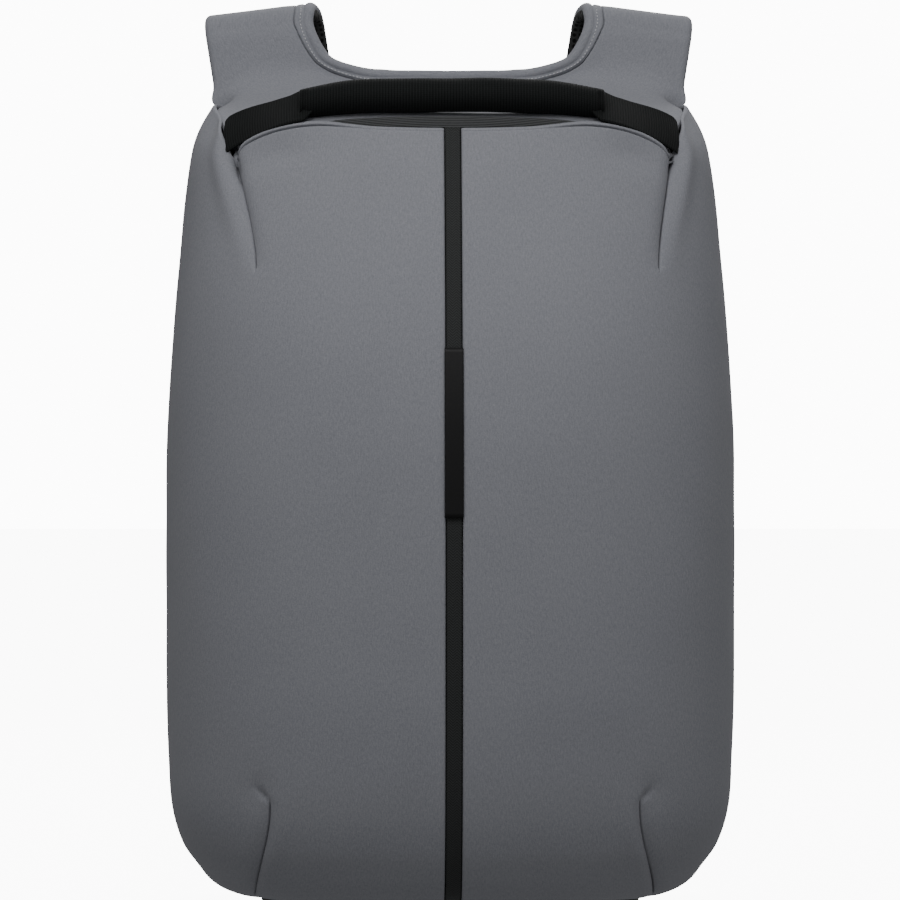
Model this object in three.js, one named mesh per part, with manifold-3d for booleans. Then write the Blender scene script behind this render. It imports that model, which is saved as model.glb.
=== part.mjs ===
// A laptop backpack that stands on its flat base, with its zip hidden against the wearer's back.
// Millimetres, +Z up. The front faces -Y and the straps hang behind at +Y.
// While it is made, the back plane is y = 0 and the base is z = 0. The last lines move the
// origin to the middle of the base of the whole bag.
import * as THREE from "three";
import { mergeVertices } from "three/addons/utils/BufferGeometryUtils.js";
import Module from "manifold-3d";

const wasm = await Module();
wasm.setup();

// Overall sizes of the bag
const bagWidth = 295; // across the widest part of the sides
const bagDepth = 160; // from the back plane to the front of the bulge
const sideTop = 414; // top of the side panels at the back plane
const frontTop = 397.5; // top edge of the front panels at the middle
const cornerDrop = 13; // how far that edge falls to the darts at its two ends
const edgeCrest = 9; // how far it first rises on its way there
const neckTop = 431; // middle of the neckline above the floor

// Walls and the clearance between sewn pieces
const wall = 3; // padded fabric of the front and side panels
const gap = 0.3;
const baseThickness = 2;
const yokeWall = 3; // the yoke over the bag
const yokeHem = 1.2; // and its outer edge
const strapPadding = 7; // grey cover and foam of a shoulder strap
const lining = 2; // black spacer mesh under a strap

// Front panels
const stripWidth = 7.8; // black strip down the middle
const stripThickness = 1.4;
const stripRecess = 0.6; // the strip lies this far under the fabric
const channel = 8.6; // width of the gap that the strip lies in
const labelWidth = 9.4;
const labelThickness = 0.8;
const labelBottom = 199.5;
const labelTop = 284.5;
const dartReach = 113; // darts' distance from the middle, at their widest
const topDartLength = 60;
const lowerDartTop = 50;
const dartDepth = 4;
const dartWidth = 9; // half width of the pinched fabric beside a dart

// Side panels
const beltDepth = 35; // the bag is widest this far in front of the back plane
const backInset = 6; // the side panels turn in by this much at the back plane
const squareness = 2.6; // exponent of the rounded plan outline

// Handle
const webbingWidth = 25;
const webbingThickness = 1.8;
const handleLean = 43; // degrees that the webbing leans back from upright
const gripLength = 156;
const gripHeight = 17.2;
const gripDepth = 16;
const gripWall = 5;
const handleHeight = 16.5; // middle of the grip above the front edge
const handleDrop = 19.5; // ends of the webbing below the middle of the grip
const handleSetback = 5; // middle of the grip behind the front edge
const handleEndSetback = 9.5;

// Neckline and straps
const neckHalf = 50; // half width of the flat part of the neckline
const neckSetback = 6; // neckline in front of the back plane
const strapInner = 70; // inner edge of a strap at its top, from the middle
const strapOuter = 128.6; // outer edge there
const strapRise = 38; // top of the straps above the neckline
const strapReach = 42; // straps' furthest point behind the back plane
const shoulderSlope = 8; // a strap's outer edge is lower than its inner edge by this
const strapEnd = 186; // height of the padded straps' lower ends
const bindingWidth = 8.5; // rolled edge along the neckline
const bindingThickness = 6;

// Back
const zipWidth = 12;
const zipThickness = 1.6;
const zipChainWidth = 5;
const zipChainHeight = 1.2;
const backTop = 425.5;
const backSquareness = 4; // exponent of its arched top
const sliderWidth = 7;
const sliderThickness = 3;
const pullLength = 24;
const backPadding = 9; // how far the back panel stands behind the back plane
const backInside = 2.4; // and how far it goes in front of it
const channelDepth = 4; // air channel down the middle of the back panel

// Lower straps
const lowerWebbing = 25;
const adjusterWidth = 36;
const adjusterHeight = 24;
const adjusterThickness = 4;
const adjusterSlot = 5;
const adjusterBar = 4; // the bar under the slot, which the webbing turns round
const tabBack = 4; // corner tabs' middle lies this far behind the back plane
const tabTop = 46;
const tabLow = 14;
const tabFoot = 10; // their width at the foot
const tabThickness = 2;
const tailLength = 70;

// Each row gives the bag's width and depth at one height, as shares of half of bagWidth and
// of bagDepth. The height is a share of sideTop.
const bodyRows = [
  { height: 0.0, width: 0.57, depth: 0.63 },
  { height: 0.005, width: 0.655, depth: 0.69 },
  { height: 0.0107, width: 0.755, depth: 0.75 },
  { height: 0.024, width: 0.835, depth: 0.806 },
  { height: 0.0435, width: 0.885, depth: 0.853 },
  { height: 0.0725, width: 0.942, depth: 0.9 },
  { height: 0.1185, width: 0.98, depth: 0.944 },
  { height: 0.181, width: 0.991, depth: 0.975 },
  { height: 0.278, width: 0.998, depth: 0.997 },
  { height: 0.46, width: 1.0, depth: 1.0 },
  { height: 0.593, width: 0.992, depth: 0.981 },
  { height: 0.702, width: 0.974, depth: 0.934 },
  { height: 0.787, width: 0.956, depth: 0.872 },
  { height: 0.872, width: 0.933, depth: 0.797 },
  { height: 0.937, width: 0.908, depth: 0.731 },
  { height: 0.969, width: 0.879, depth: 0.697 },
  { height: 1.0, width: 0.829, depth: 0.656 },
];

// The line that both darts lie on: its distance from the middle as a share of dartReach.
const dartRows = [
  { height: 0.0, reach: 0.95 },
  { height: 0.02, reach: 0.935 },
  { height: 0.12, reach: 0.865 },
  { height: 0.45, reach: 0.87 },
  { height: 0.8, reach: 0.935 },
  { height: 0.937, reach: 1.0 },
  { height: 1.0, reach: 1.01 },
];

// The yoke's slope from the front edge (station 0) to the neckline (station 1): how far back
// it has gone, and how far it has risen in the middle, under the hand, and at the sides.
const yokeRows = [
  { station: 0.0, back: 0.0, middle: 0.0, side: 0.0 },
  { station: 0.17, back: 0.12, middle: 0.05, side: 0.16 },
  { station: 0.34, back: 0.27, middle: 0.11, side: 0.345 },
  { station: 0.5, back: 0.48, middle: 0.2, side: 0.5 },
  { station: 0.67, back: 0.72, middle: 0.4, side: 0.59 },
  { station: 0.84, back: 0.93, middle: 0.7, side: 0.67 },
  { station: 1.0, back: 1.0, middle: 1.0, side: 1.0 },
];

// A strap from the neckline (station 1) over the shoulder and down behind the bag. back is a
// share of strapReach behind the back plane, or of neckSetback in front of it. rise is a share
// of strapRise above the neckline, or of the drop to strapEnd below it. inner and outer are the
// edges' shares of strapInner and strapOuter.
const strapRows = [
  { station: 1.0, back: -1.0, rise: 0.0, inner: 0.8, outer: 0.945 },
  { station: 1.3, back: -0.88, rise: 0.3, inner: 0.93, outer: 0.97 },
  { station: 1.6, back: -0.66, rise: 0.6, inner: 1.0, outer: 0.99 },
  { station: 1.85, back: -0.1, rise: 0.87, inner: 1.0, outer: 1.0 },
  { station: 2.1, back: 0.2, rise: 1.0, inner: 0.99, outer: 1.0 },
  { station: 2.35, back: 0.45, rise: 0.93, inner: 0.97, outer: 0.99 },
  { station: 2.6, back: 0.63, rise: 0.68, inner: 0.94, outer: 0.97 },
  { station: 2.9, back: 0.74, rise: 0.33, inner: 0.91, outer: 0.94 },
  { station: 3.2, back: 0.83, rise: 0.0, inner: 0.88, outer: 0.91 },
  { station: 4.0, back: 0.96, rise: -0.15, inner: 0.81, outer: 0.86 },
  { station: 5.0, back: 1.0, rise: -0.33, inner: 0.77, outer: 0.84 },
  { station: 6.0, back: 1.0, rise: -0.52, inner: 0.8, outer: 0.84 },
  { station: 7.0, back: 0.95, rise: -0.7, inner: 0.92, outer: 0.86 },
  { station: 8.0, back: 0.87, rise: -0.87, inner: 1.12, outer: 0.88 },
  { station: 8.8, back: 0.8, rise: -1.0, inner: 1.26, outer: 0.9 },
];
const neckStation = 1;
const seamStation = 2.6; // where the yoke ends and the strap proper begins
const levelStation = 5; // from here down a strap's two edges are level
const endStation = 8.8;

// The neckline's half, from its middle to where it has become the strap's inner edge: its
// distance from the middle as a share of neckHalf, and its station.
const neckRows = [
  { along: 0.0, out: 0.0, station: 1.0 },
  { along: 0.25, out: 0.42, station: 1.01 },
  { along: 0.48, out: 0.8, station: 1.06 },
  { along: 0.62, out: 1.0, station: 1.125 },
  { along: 0.74, out: 1.14, station: 1.18 },
  { along: 0.84, out: 1.25, station: 1.26 },
  { along: 0.93, out: 1.34, station: 1.43 },
  { along: 1.0, out: 1.4, station: 1.6 },
];
const collarStation = 1.6; // the station where the neckline's rows end

// Smooth value of one column of a table, at a place in its key column.
function smooth(rows, key, column, at) {
  const last = rows.length - 2;
  let i = 0;
  while (i < last && at > rows[i + 1][key]) i++;
  const slope = (j) => {
    const before = rows[Math.max(j - 1, 0)];
    const after = rows[Math.min(j + 1, rows.length - 1)];
    return (after[column] - before[column]) / (after[key] - before[key]);
  };
  const span = rows[i + 1][key] - rows[i][key];
  const t = Math.min(Math.max((at - rows[i][key]) / span, 0), 1);
  const a = rows[i][column];
  const b = rows[i + 1][column];
  const m = slope(i) * span;
  const n = slope(i + 1) * span;
  const t2 = t * t;
  const t3 = t2 * t;
  return a * (2 * t3 - 3 * t2 + 1) + m * (t3 - 2 * t2 + t) + b * (3 * t2 - 2 * t3) + n * (t3 - t2);
}

const mix = THREE.MathUtils.lerp;
const clamp = THREE.MathUtils.clamp;
const halfWidth = (z) => (bagWidth / 2) * smooth(bodyRows, "height", "width", z / sideTop);
const depth = (z) => bagDepth * smooth(bodyRows, "height", "depth", z / sideTop);
const dartMargin = 0.93; // the darts stay within this share of the half width
const dartLine = (z) =>
  Math.min(dartReach * smooth(dartRows, "height", "reach", z / sideTop), halfWidth(z) * dartMargin);

// Distance of the front behind (negative: before) the back plane, at a place across it.
function frontAt(x, z) {
  const share = Math.min(Math.abs(x) / halfWidth(z), 1);
  const bulge = depth(z) - beltDepth;
  return -beltDepth - bulge * Math.pow(1 - Math.pow(share, squareness), 1 / squareness);
}

// A side runs from the strip (0) to the dart line (1), round the corner to the widest place
// (cornerEnd) and on to the back plane (2).
const cornerEnd = 1.7;
const cornerTop = frontTop - cornerDrop;

function topHeight(side) {
  if (side <= 1) return frontTop + edgeCrest * side ** 2 - (edgeCrest + cornerDrop) * side ** 5;
  return mix(cornerTop, sideTop, 1 - (2 - side) ** 4);
}

// How deep a dart pinches the fabric at a height: nothing at its point, most at its open end.
function pinch(z, top) {
  const upper = (z - (top - topDartLength)) / topDartLength;
  const lower = (lowerDartTop - z) / lowerDartTop;
  return dartDepth * Math.sqrt(clamp(Math.max(upper, lower), 0, 1));
}

function bodyPoint(side, height) {
  const z = mix(baseThickness + gap, topHeight(side), height);
  const width = halfWidth(z);
  const dart = dartLine(z);
  const bulge = depth(z) - beltDepth;
  const point = new THREE.Vector3(0, 0, z);
  let fromDart;
  if (side <= 1) {
    point.x = mix(channel / 2, dart, side);
    point.y = frontAt(point.x, z);
    fromDart = dart - point.x;
  } else if (side <= cornerEnd) {
    const start = Math.atan2(dart, -beltDepth - frontAt(dart, z));
    const angle = mix(start, Math.PI / 2, (side - 1) / (cornerEnd - 1));
    const spread = (Math.sin(angle) / width) ** squareness + (Math.cos(angle) / bulge) ** squareness;
    const radius = spread ** (-1 / squareness);
    point.x = radius * Math.sin(angle);
    point.y = -beltDepth - radius * Math.cos(angle);
    fromDart = (angle - start) * radius;
  } else {
    const turn = (side - cornerEnd) / (2 - cornerEnd);
    point.x = width - backInset * turn ** 2;
    point.y = -beltDepth * (1 - turn);
    fromDart = bagDepth;
  }
  // The pinched fabric goes in towards the middle of the bag.
  const inward = pinch(z, cornerTop) * Math.max(1 - Math.abs(fromDart) / dartWidth, 0) ** 2;
  const towards = new THREE.Vector2(-point.x * 0.5, -bagDepth / 3 - point.y).normalize();
  point.x += towards.x * inward;
  point.y += towards.y * inward;
  return point;
}

// Outward normal of a surface of two parameters, each from its low to its high limit.
function normalOf(surface, u, v, limits) {
  const step = 0.004; // share of each parameter's range between the points that it compares
  const [uLow, uHigh, vLow, vHigh] = limits;
  const spanU = (uHigh - uLow) * step;
  const spanV = (vHigh - vLow) * step;
  const du = surface(Math.min(u + spanU, uHigh), v).sub(surface(Math.max(u - spanU, uLow), v));
  const dv = surface(u, Math.min(v + spanV, vHigh)).sub(surface(u, Math.max(v - spanV, vLow)));
  return du.cross(dv).normalize();
}

// A closed solid between two grids of points, one on each of its faces. Where closed is true
// the columns run round and meet.
function wallSolid(outer, inner, closed = false) {
  const rows = outer.length;
  const columns = outer[0].length;
  const positions = [];
  for (const grid of [outer, inner])
    for (const row of grid) for (const p of row) positions.push(p.x, p.y, p.z);
  const at = (face, row, column) => (face * rows + row) * columns + (column % columns);
  const faces = [];
  const quad = (a, b, c, d) => faces.push(a, b, c, a, c, d);
  const last = closed ? columns : columns - 1;
  for (let r = 0; r < rows - 1; r++)
    for (let c = 0; c < last; c++) {
      quad(at(0, r, c), at(0, r, c + 1), at(0, r + 1, c + 1), at(0, r + 1, c));
      quad(at(1, r, c), at(1, r + 1, c), at(1, r + 1, c + 1), at(1, r, c + 1));
    }
  for (let c = 0; c < last; c++) {
    quad(at(0, 0, c), at(1, 0, c), at(1, 0, c + 1), at(0, 0, c + 1));
    quad(at(0, rows - 1, c), at(0, rows - 1, c + 1), at(1, rows - 1, c + 1), at(1, rows - 1, c));
  }
  const end = columns - 1;
  for (let r = 0; !closed && r < rows - 1; r++) {
    quad(at(0, r, 0), at(0, r + 1, 0), at(1, r + 1, 0), at(1, r, 0));
    quad(at(0, r, end), at(1, r, end), at(1, r + 1, end), at(0, r + 1, end));
  }
  const geometry = new THREE.BufferGeometry();
  geometry.setAttribute("position", new THREE.Float32BufferAttribute(positions, 3));
  geometry.setIndex(faces);
  return facingOut(geometry);
}

function volumeOf(geometry) {
  const place = geometry.getAttribute("position");
  const corner = [0, 1, 2].map(() => new THREE.Vector3());
  let volume = 0;
  for (let i = 0; i < geometry.index.count; i += 3) {
    corner.forEach((p, k) => p.fromBufferAttribute(place, geometry.index.getX(i + k)));
    volume += corner[0].dot(corner[1].cross(corner[2])) / 6;
  }
  return volume;
}

function facingOut(geometry) {
  if (volumeOf(geometry) > 0) return geometry;
  const index = geometry.index;
  for (let i = 0; i < index.count; i += 3) {
    const first = index.getX(i);
    index.setX(i, index.getX(i + 1));
    index.setX(i + 1, first);
  }
  return geometry;
}

// The same geometry with its shared corners merged, and nothing but their places
function merge(geometry) {
  const bare = geometry.clone();
  for (const name of ["normal", "uv"]) bare.deleteAttribute(name);
  return mergeVertices(bare, 1e-3);
}

const mirrored = (geometry) => facingOut(merge(geometry).scale(-1, 1, 1));

function toManifold(geometry) {
  const merged = merge(geometry);
  return new wasm.Manifold(
    new wasm.Mesh({
      numProp: 3,
      vertProperties: new Float32Array(merged.getAttribute("position").array),
      triVerts: new Uint32Array(merged.index.array),
    }),
  );
}

function fromManifold(solid) {
  const mesh = solid.getMesh();
  const geometry = new THREE.BufferGeometry();
  geometry.setAttribute("position", new THREE.Float32BufferAttribute(mesh.vertProperties, 3));
  geometry.setIndex([...mesh.triVerts]);
  return geometry;
}

const joined = (a, b) => fromManifold(toManifold(a).add(toManifold(b)));

// Evenly spaced numbers from low to high, both included.
const steps = (low, high, count) => Array.from({ length: count + 1 }, (_, i) => mix(low, high, i / count));

// Front and side panels
const bodyLimits = [0, 2, 0, 1];
const bodyNormal = (side, height) => normalOf(bodyPoint, side, height, bodyLimits);

function bodyInner(side, height) {
  const point = bodyPoint(side, height).addScaledVector(bodyNormal(side, height), -wall);
  point.z = height === 0 ? baseThickness + gap : Math.max(point.z, baseThickness + gap);
  return point;
}

// The columns of a panel's grid lie closer together beside the dart and round the corner.
function sideStops() {
  const close = 0.3 * dartWidth;
  const along = [0, 0.2, 0.4, 0.58, 0.74, 0.86, 1 - dartWidth / dartReach, 1 - close / dartReach, 1];
  const cornerLength = bagDepth * 0.62; // about how far it is round the corner
  const turn = (distance) => 1 + ((cornerEnd - 1) * distance) / cornerLength;
  return [...along, turn(close), turn(dartWidth), ...steps(1.22, cornerEnd, 5), 1.85, 2];
}

// Its rows lie closer together where the bag curves in to the base and to the mouth.
function heightStops() {
  const low = [0, 0.007, 0.018, 0.036, 0.062, 0.095, 0.13];
  return [...low, ...steps(0.19, 0.79, 9), 0.84, 0.88, 0.92, 0.96, 1];
}

function makePanel() {
  const outer = heightStops().map((h) => sideStops().map((s) => bodyPoint(s, h)));
  const inner = heightStops().map((h) => sideStops().map((s) => bodyInner(s, h)));
  return wallSolid(outer, inner);
}

// The black strip between the front panels, and the plain label on it
function stripRow(z, half, out) {
  return [-half, half].map((x) => new THREE.Vector3(x, frontAt(0, z) - out, z));
}

function makeStrip() {
  const heights = heightStops().map((h) => mix(baseThickness + gap, frontTop, h));
  const face = heights.map((z) => stripRow(z, stripWidth / 2, -stripRecess));
  const back = heights.map((z) => stripRow(z, stripWidth / 2, -stripRecess - stripThickness));
  return wallSolid(face, back);
}

function makeLabel() {
  const heights = steps(labelBottom, labelTop, 6);
  const face = heights.map((z) => stripRow(z, labelWidth / 2, gap + labelThickness));
  const back = heights.map((z) => stripRow(z, labelWidth / 2, gap));
  return wallSolid(face, back);
}

// The base is a flat sheet with the outline of the panels' lower edge.
function makeBase() {
  const z = baseThickness + gap;
  const stops = [0, 0.35, 0.65, 0.85, 1, ...steps(1.1, cornerEnd, 5), 1.85, 2];
  const right = stops.map((side) => {
    const p = bodyPoint(side, 0);
    return new THREE.Vector2(p.x, frontOrSide(side, p, z));
  });
  right[0].x = 0;
  const left = right.slice(1).map((p) => new THREE.Vector2(-p.x, p.y));
  const outline = new THREE.Shape([...right, ...left.reverse()]);
  return new THREE.ExtrudeGeometry(outline, { depth: baseThickness, bevelEnabled: false });
}

// Depth of the base's outline: the darts don't pinch it.
function frontOrSide(side, point, z) {
  return side <= 1 ? frontAt(point.x, z) : point.y;
}

// The yoke and straps are one bent sheet. A place on it is its distance from the middle and
// its station, the number in the station column of the tables.
const handShare = 0.5; // the hollow under the hand ends from this share of dartReach
const sideShare = 0.85; // to this one

function sheetPoint(x, station) {
  const out = Math.abs(x);
  if (station >= neckStation) {
    const back = smooth(strapRows, "station", "back", station);
    const rise = smooth(strapRows, "station", "rise", station);
    const y = back * (back < 0 ? neckSetback : strapReach);
    const z = neckTop + rise * (rise < 0 ? neckTop - strapEnd : strapRise);
    const across = (out - strapInner) / (strapOuter - strapInner);
    const over = THREE.MathUtils.smoothstep(station, neckStation, collarStation);
    const level = 1 - THREE.MathUtils.smoothstep(station, seamStation, levelStation);
    const slope = shoulderSlope * clamp(across, 0, 1.1) * over * level;
    return new THREE.Vector3(x, y, z - slope);
  }
  const front = frontEdge(Math.min(out, dartReach));
  const back = smooth(yokeRows, "station", "back", station);
  const middle = smooth(yokeRows, "station", "middle", station);
  const side = smooth(yokeRows, "station", "side", station);
  const aside = THREE.MathUtils.smoothstep(out, dartReach * handShare, dartReach * sideShare);
  const y = mix(front.y, -neckSetback, back);
  return new THREE.Vector3(x, y, mix(front.z, neckTop, mix(middle, side, aside)));
}

// The yoke's front edge tucks in behind the front panels' top edge.
const edgeTuck = 1.5; // the yoke's edge is this far below the panels' edge
const yokeInset = wall + 5 * gap;

function frontEdge(x) {
  const side = clamp((x - channel / 2) / (dartLine(cornerTop) - channel / 2), 0, 1);
  const z = topHeight(side) - edgeTuck;
  return new THREE.Vector3(x, frontAt(x, z) + yokeInset, z);
}

// The same edge all round the bag's mouth, on the scale of bodyPoint
function tuckedEdge(side) {
  const height = 1 - edgeTuck / (topHeight(side) - baseThickness);
  return bodyPoint(side, height).addScaledVector(bodyNormal(side, height), -yokeInset);
}

// The outer edge of the yoke and strap, from the front middle (0) along the front edge to the
// dart (frontShare), back along the side panel's top edge (rimShare) and up the strap (1).
const frontShare = 0.72;
const rimShare = 0.92;
const rimEnd = 1.93; // the yoke leaves the side panel's edge here, on the scale of bodyPoint
const middleShare = 0.1; // this much of the front edge closes the gap between the panels
const quickShare = 0.05; // this much of the way up the strap spreads out over the panel's edge

function outerEdge(along) {
  if (along <= frontShare) {
    const edge = tuckedEdge(along / frontShare);
    edge.x *= Math.min(along / frontShare / middleShare, 1);
    return edge;
  }
  const onRim = Math.min((along - frontShare) / (rimShare - frontShare), 1);
  const rim = tuckedEdge(mix(1, rimEnd, onRim));
  rim.z += (edgeTuck + yokeHem + 3 * gap) * onRim ** 3;
  if (along <= rimShare) return rim;
  const up = (along - rimShare) / (1 - rimShare);
  const outer = strapOuter * smooth(strapRows, "station", "outer", collarStation);
  const strap = sheetPoint(outer, collarStation);
  const spread = mix(rim.x, halfWidth(sideTop), Math.min(up / quickShare, 1));
  return new THREE.Vector3(mix(spread, outer, up), mix(rim.y, strap.y, up ** 0.5), mix(rim.z, strap.z, up));
}

// A place on the neckline, as distance from the middle and station.
function neckPlace(along) {
  const out = neckHalf * smooth(neckRows, "along", "out", along);
  return { x: out, station: smooth(neckRows, "along", "station", along) };
}

// The station on the yoke that lies as far forward as y.
function stationAt(y, x) {
  let low = 0;
  let high = neckStation;
  for (let i = 0; i < 24; i++) {
    const middle = (low + high) / 2;
    if (sheetPoint(x, middle).y < y) low = middle;
    else high = middle;
  }
  return (low + high) / 2;
}

// The collar is the part of the sheet round the neckline. along runs from the middle (0) to
// the strap (1), and out from the neckline (0) to the outer edge (1).
function collarPoint(along, out) {
  const inner = neckPlace(along);
  const edge = outerEdge(along);
  const edgeStation = along <= rimShare ? stationAt(edge.y, edge.x) : upStation(along);
  const x = mix(inner.x, edge.x, out);
  const point = sheetPoint(x, mix(inner.station, edgeStation, out));
  const miss = edge.clone().sub(sheetPoint(edge.x, edgeStation));
  point.addScaledVector(miss, out ** 3);
  return point;
}

function upStation(along) {
  const rim = outerEdge(rimShare);
  return mix(stationAt(rim.y, rim.x), collarStation, (along - rimShare) / (1 - rimShare));
}

// The whole sheet of one side. Its rows go from the middle of the neckline (0) to the collar's
// end (1) and then by station down to the strap's end.
function strapSheet(row, out) {
  if (row <= 1) return collarPoint(row, out);
  const station = collarStation + (row - 1);
  const inner = strapInner * smooth(strapRows, "station", "inner", station);
  const outer = strapOuter * smooth(strapRows, "station", "outer", station);
  return sheetPoint(mix(inner, outer, out), station);
}

const seamRow = 1 + seamStation - collarStation;
const endRow = 1 + endStation - collarStation;
const rootRow = 0.93; // the straps' lining begins here, where they leave the bag

function sheetNormal(row, out) {
  const normal = normalOf((o, r) => strapSheet(r, o), out, row, [0, 1, 0, endRow]);
  if (row === 0) normal.x = 0;
  return normal.normalize();
}

// How thick the sheet is: plain fabric over the bag, padded where it becomes a strap.
const paddingRow = 0.55; // the padding begins here

function sheetThickness(row, out) {
  const padded = THREE.MathUtils.smoothstep(row, paddingRow, 1);
  const hem = row < 1 ? out ** 6 * (1 - THREE.MathUtils.smoothstep(row, overRim, 1)) : 0;
  return mix(mix(yokeWall, strapPadding, padded), yokeHem, hem);
}

// Distance from the inner edge to the outer edge, measured across the sheet.
const sheetWidth = (row) => strapSheet(row, 0).distanceTo(strapSheet(row, 1));

// Averages the inner points of a grid's first rows with their neighbours, which takes kinks out
// of it. The first row lies on the mirror plane.
function relaxed(grid, rows, times) {
  if (times === 0) return grid;
  const next = grid.map((line, r) =>
    line.map((point, c) => {
      if (r >= rows - 1 || c === 0 || c === line.length - 1) return point;
      const before = r ? grid[r - 1][c] : grid[1][c].clone().setX(-grid[1][c].x);
      const around = [before, grid[r + 1][c], line[c - 1], line[c + 1]];
      return around.reduce((sum, p) => sum.add(p), new THREE.Vector3()).multiplyScalar(0.25);
    }),
  );
  return relaxed(next, rows, times - 1);
}

// The solid between two depths under the sheet's face, for some rows and columns of it
function sheetSolid(rows, columns, topUnder, bottomUnder, relaxing = 0) {
  const collar = collarRows.length;
  const places = rows.map((row) => columns(row).map((out) => [row, out]));
  const each = (make) => places.map((line) => line.map(([row, out]) => make(row, out)));
  const face = relaxed(each(strapSheet), collar, relaxing);
  const normals = relaxed(each(sheetNormal), collar, relaxing);
  const layer = (under) =>
    face.map((line, r) =>
      line.map((point, c) => {
        const inward = normals[r][c].clone().normalize().negate();
        const moved = point.clone().addScaledVector(inward, under(...places[r][c]));
        if (places[r][c][0] === 0) moved.x = 0;
        return moved;
      }),
    );
  return wallSolid(layer(topUnder), layer(bottomUnder));
}

const overRim = rimShare + 0.004; // just past the side panel's edge the yoke spreads over it
const frontRows = [...steps(0, frontShare * 0.9, 8), ...steps(frontShare, rimShare, 6)];
const collarRows = [...frontRows, overRim, ...steps(rimShare + 0.025, 1, 3)];
const archRows = steps(1, seamRow, 8).slice(1);
const strapOnlyRows = steps(seamRow, endRow, 14);
const bindingShare = (row, beyond = 0) => (bindingWidth + beyond) / sheetWidth(row);
const yokeRelaxing = 4;

function makeYoke() {
  const columns = (row) => steps(bindingShare(row, 3 * gap), 1, 8);
  const half = sheetSolid([...collarRows, ...archRows], columns, () => 0, sheetThickness, yokeRelaxing);
  return joined(half, mirrored(half));
}

const bindingCrown = 1; // the rolled edge stands this far above the sheet's face

function makeBinding() {
  const columns = (row) => steps(0, bindingShare(row), 2);
  const top = (row, out) => (out > 0 && out < bindingShare(row) * 0.99 ? -bindingCrown : 0);
  const half = sheetSolid([...collarRows, ...archRows], columns, top, () => bindingThickness);
  return joined(half, mirrored(half));
}

const clearOfSeam = 0.012; // share of a station that leaves a gap at a seam

function makeStrap() {
  const rows = strapOnlyRows.map((row, i) => (i ? row : row + clearOfSeam));
  return sheetSolid(rows, () => steps(0, 1, 4), () => 0, () => strapPadding);
}

const liningMargin = 0.04; // share of a strap's width that its lining leaves free at each edge

function makeLining() {
  const rows = [...steps(rootRow, 1, 2), ...archRows, ...strapOnlyRows.slice(1)];
  const columns = () => steps(liningMargin, 1 - liningMargin, 3);
  return sheetSolid(rows, columns, () => strapPadding + gap, () => strapPadding + gap + lining);
}

// Handle: a flat webbing that lies on the yoke at its ends and runs through a padded grip
function handleMiddle(x) {
  const share = Math.abs(x) / dartReach;
  const end = share ** 4;
  const edge = frontEdge(Math.min(Math.abs(x), dartReach));
  const back = mix(handleSetback, handleEndSetback, end);
  return new THREE.Vector3(x, edge.y + back, frontTop + handleHeight - handleDrop * end);
}

const lean = THREE.MathUtils.degToRad(handleLean);
const webbingUp = new THREE.Vector3(0, Math.sin(lean), Math.cos(lean));
const webbingOut = new THREE.Vector3(0, -Math.cos(lean), Math.sin(lean));

// How far from the middle the webbing's ends lie: inside the bag's wall at a depth and height
function wallInside(y, z) {
  const bulge = depth(z) - beltDepth;
  const forward = clamp((-beltDepth - y) / bulge, 0, 1);
  const across = (1 - forward ** squareness) ** (1 / squareness);
  const turnedOut = across ** (squareness - 1) / halfWidth(z);
  const turnedForward = forward ** (squareness - 1) / bulge;
  const inset = ((yokeInset + 4 * gap) * Math.hypot(turnedOut, turnedForward)) / turnedOut;
  return halfWidth(z) * across - inset;
}

// Width of the webbing as a share of its own: it is folded narrower inside the grip.
function fold(x) {
  const beyond = (Math.abs(x) - gripLength / 2) / webbingWidth;
  const narrow = (gripHeight - 2 * gripWall) / webbingWidth / 2;
  return mix(narrow, 1, THREE.MathUtils.smoothstep(beyond, 0.02, 0.25));
}

function makeWebbing() {
  const end = gripLength / 2 / dartReach;
  const right = [...steps(0, 0.9 * end, 3), 1.005 * end, 1.07 * end, ...steps(1.13 * end, 1, 4)];
  const places = [...right.slice(1).reverse().map((place) => -place), ...right];
  const across = (x, w) => handleMiddle(x).addScaledVector(webbingUp, w * webbingWidth * fold(x));
  const side = (out) =>
    places.map((place) =>
      [-0.5, 0, 0.5].map((w) => {
        const end = across(dartReach, w);
        const point = across(place * dartReach, w);
        point.x *= mix(1, wallInside(end.y, end.z) / dartReach, Math.abs(place) ** 4);
        return point.addScaledVector(webbingOut, out);
      }),
    );
  return wallSolid(side(webbingThickness / 2), side(-webbingThickness / 2));
}

function makeGrip() {
  const places = steps(-gripLength / 2, gripLength / 2, 14);
  const ring = (x, high, deep) =>
    steps(0, 2 * Math.PI, 16)
      .slice(0, -1)
      .map((angle) => {
        const middle = handleMiddle(x);
        middle.y += Math.cos(angle) * deep;
        middle.z += Math.sin(angle) * high;
        return middle;
      });
  const bore = 2 * gap - gripWall;
  const outer = places.map((x) => ring(x, gripHeight / 2, gripDepth / 2));
  const inner = places.map((x) => ring(x, gripHeight / 2 + bore, gripDepth / 2 + bore));
  return wallSolid(outer, inner, true);
}

// Back: an arched zip all round a padded panel. inset is measured in from the side panels.
const archFoot = 0.86; // the arch begins at this share of backTop

// Inner face of the side panel's wall where it ends, at a height
function wallEnd(z) {
  const stops = heightStops().map((h) => bodyInner(2, h));
  const above = clamp(stops.findIndex((p) => p.z > z), 1, stops.length - 1);
  const [a, b] = [stops[above - 1], stops[above]];
  return mix(a.x, b.x, clamp((z - a.z) / (b.z - a.z), 0, 1));
}

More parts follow.
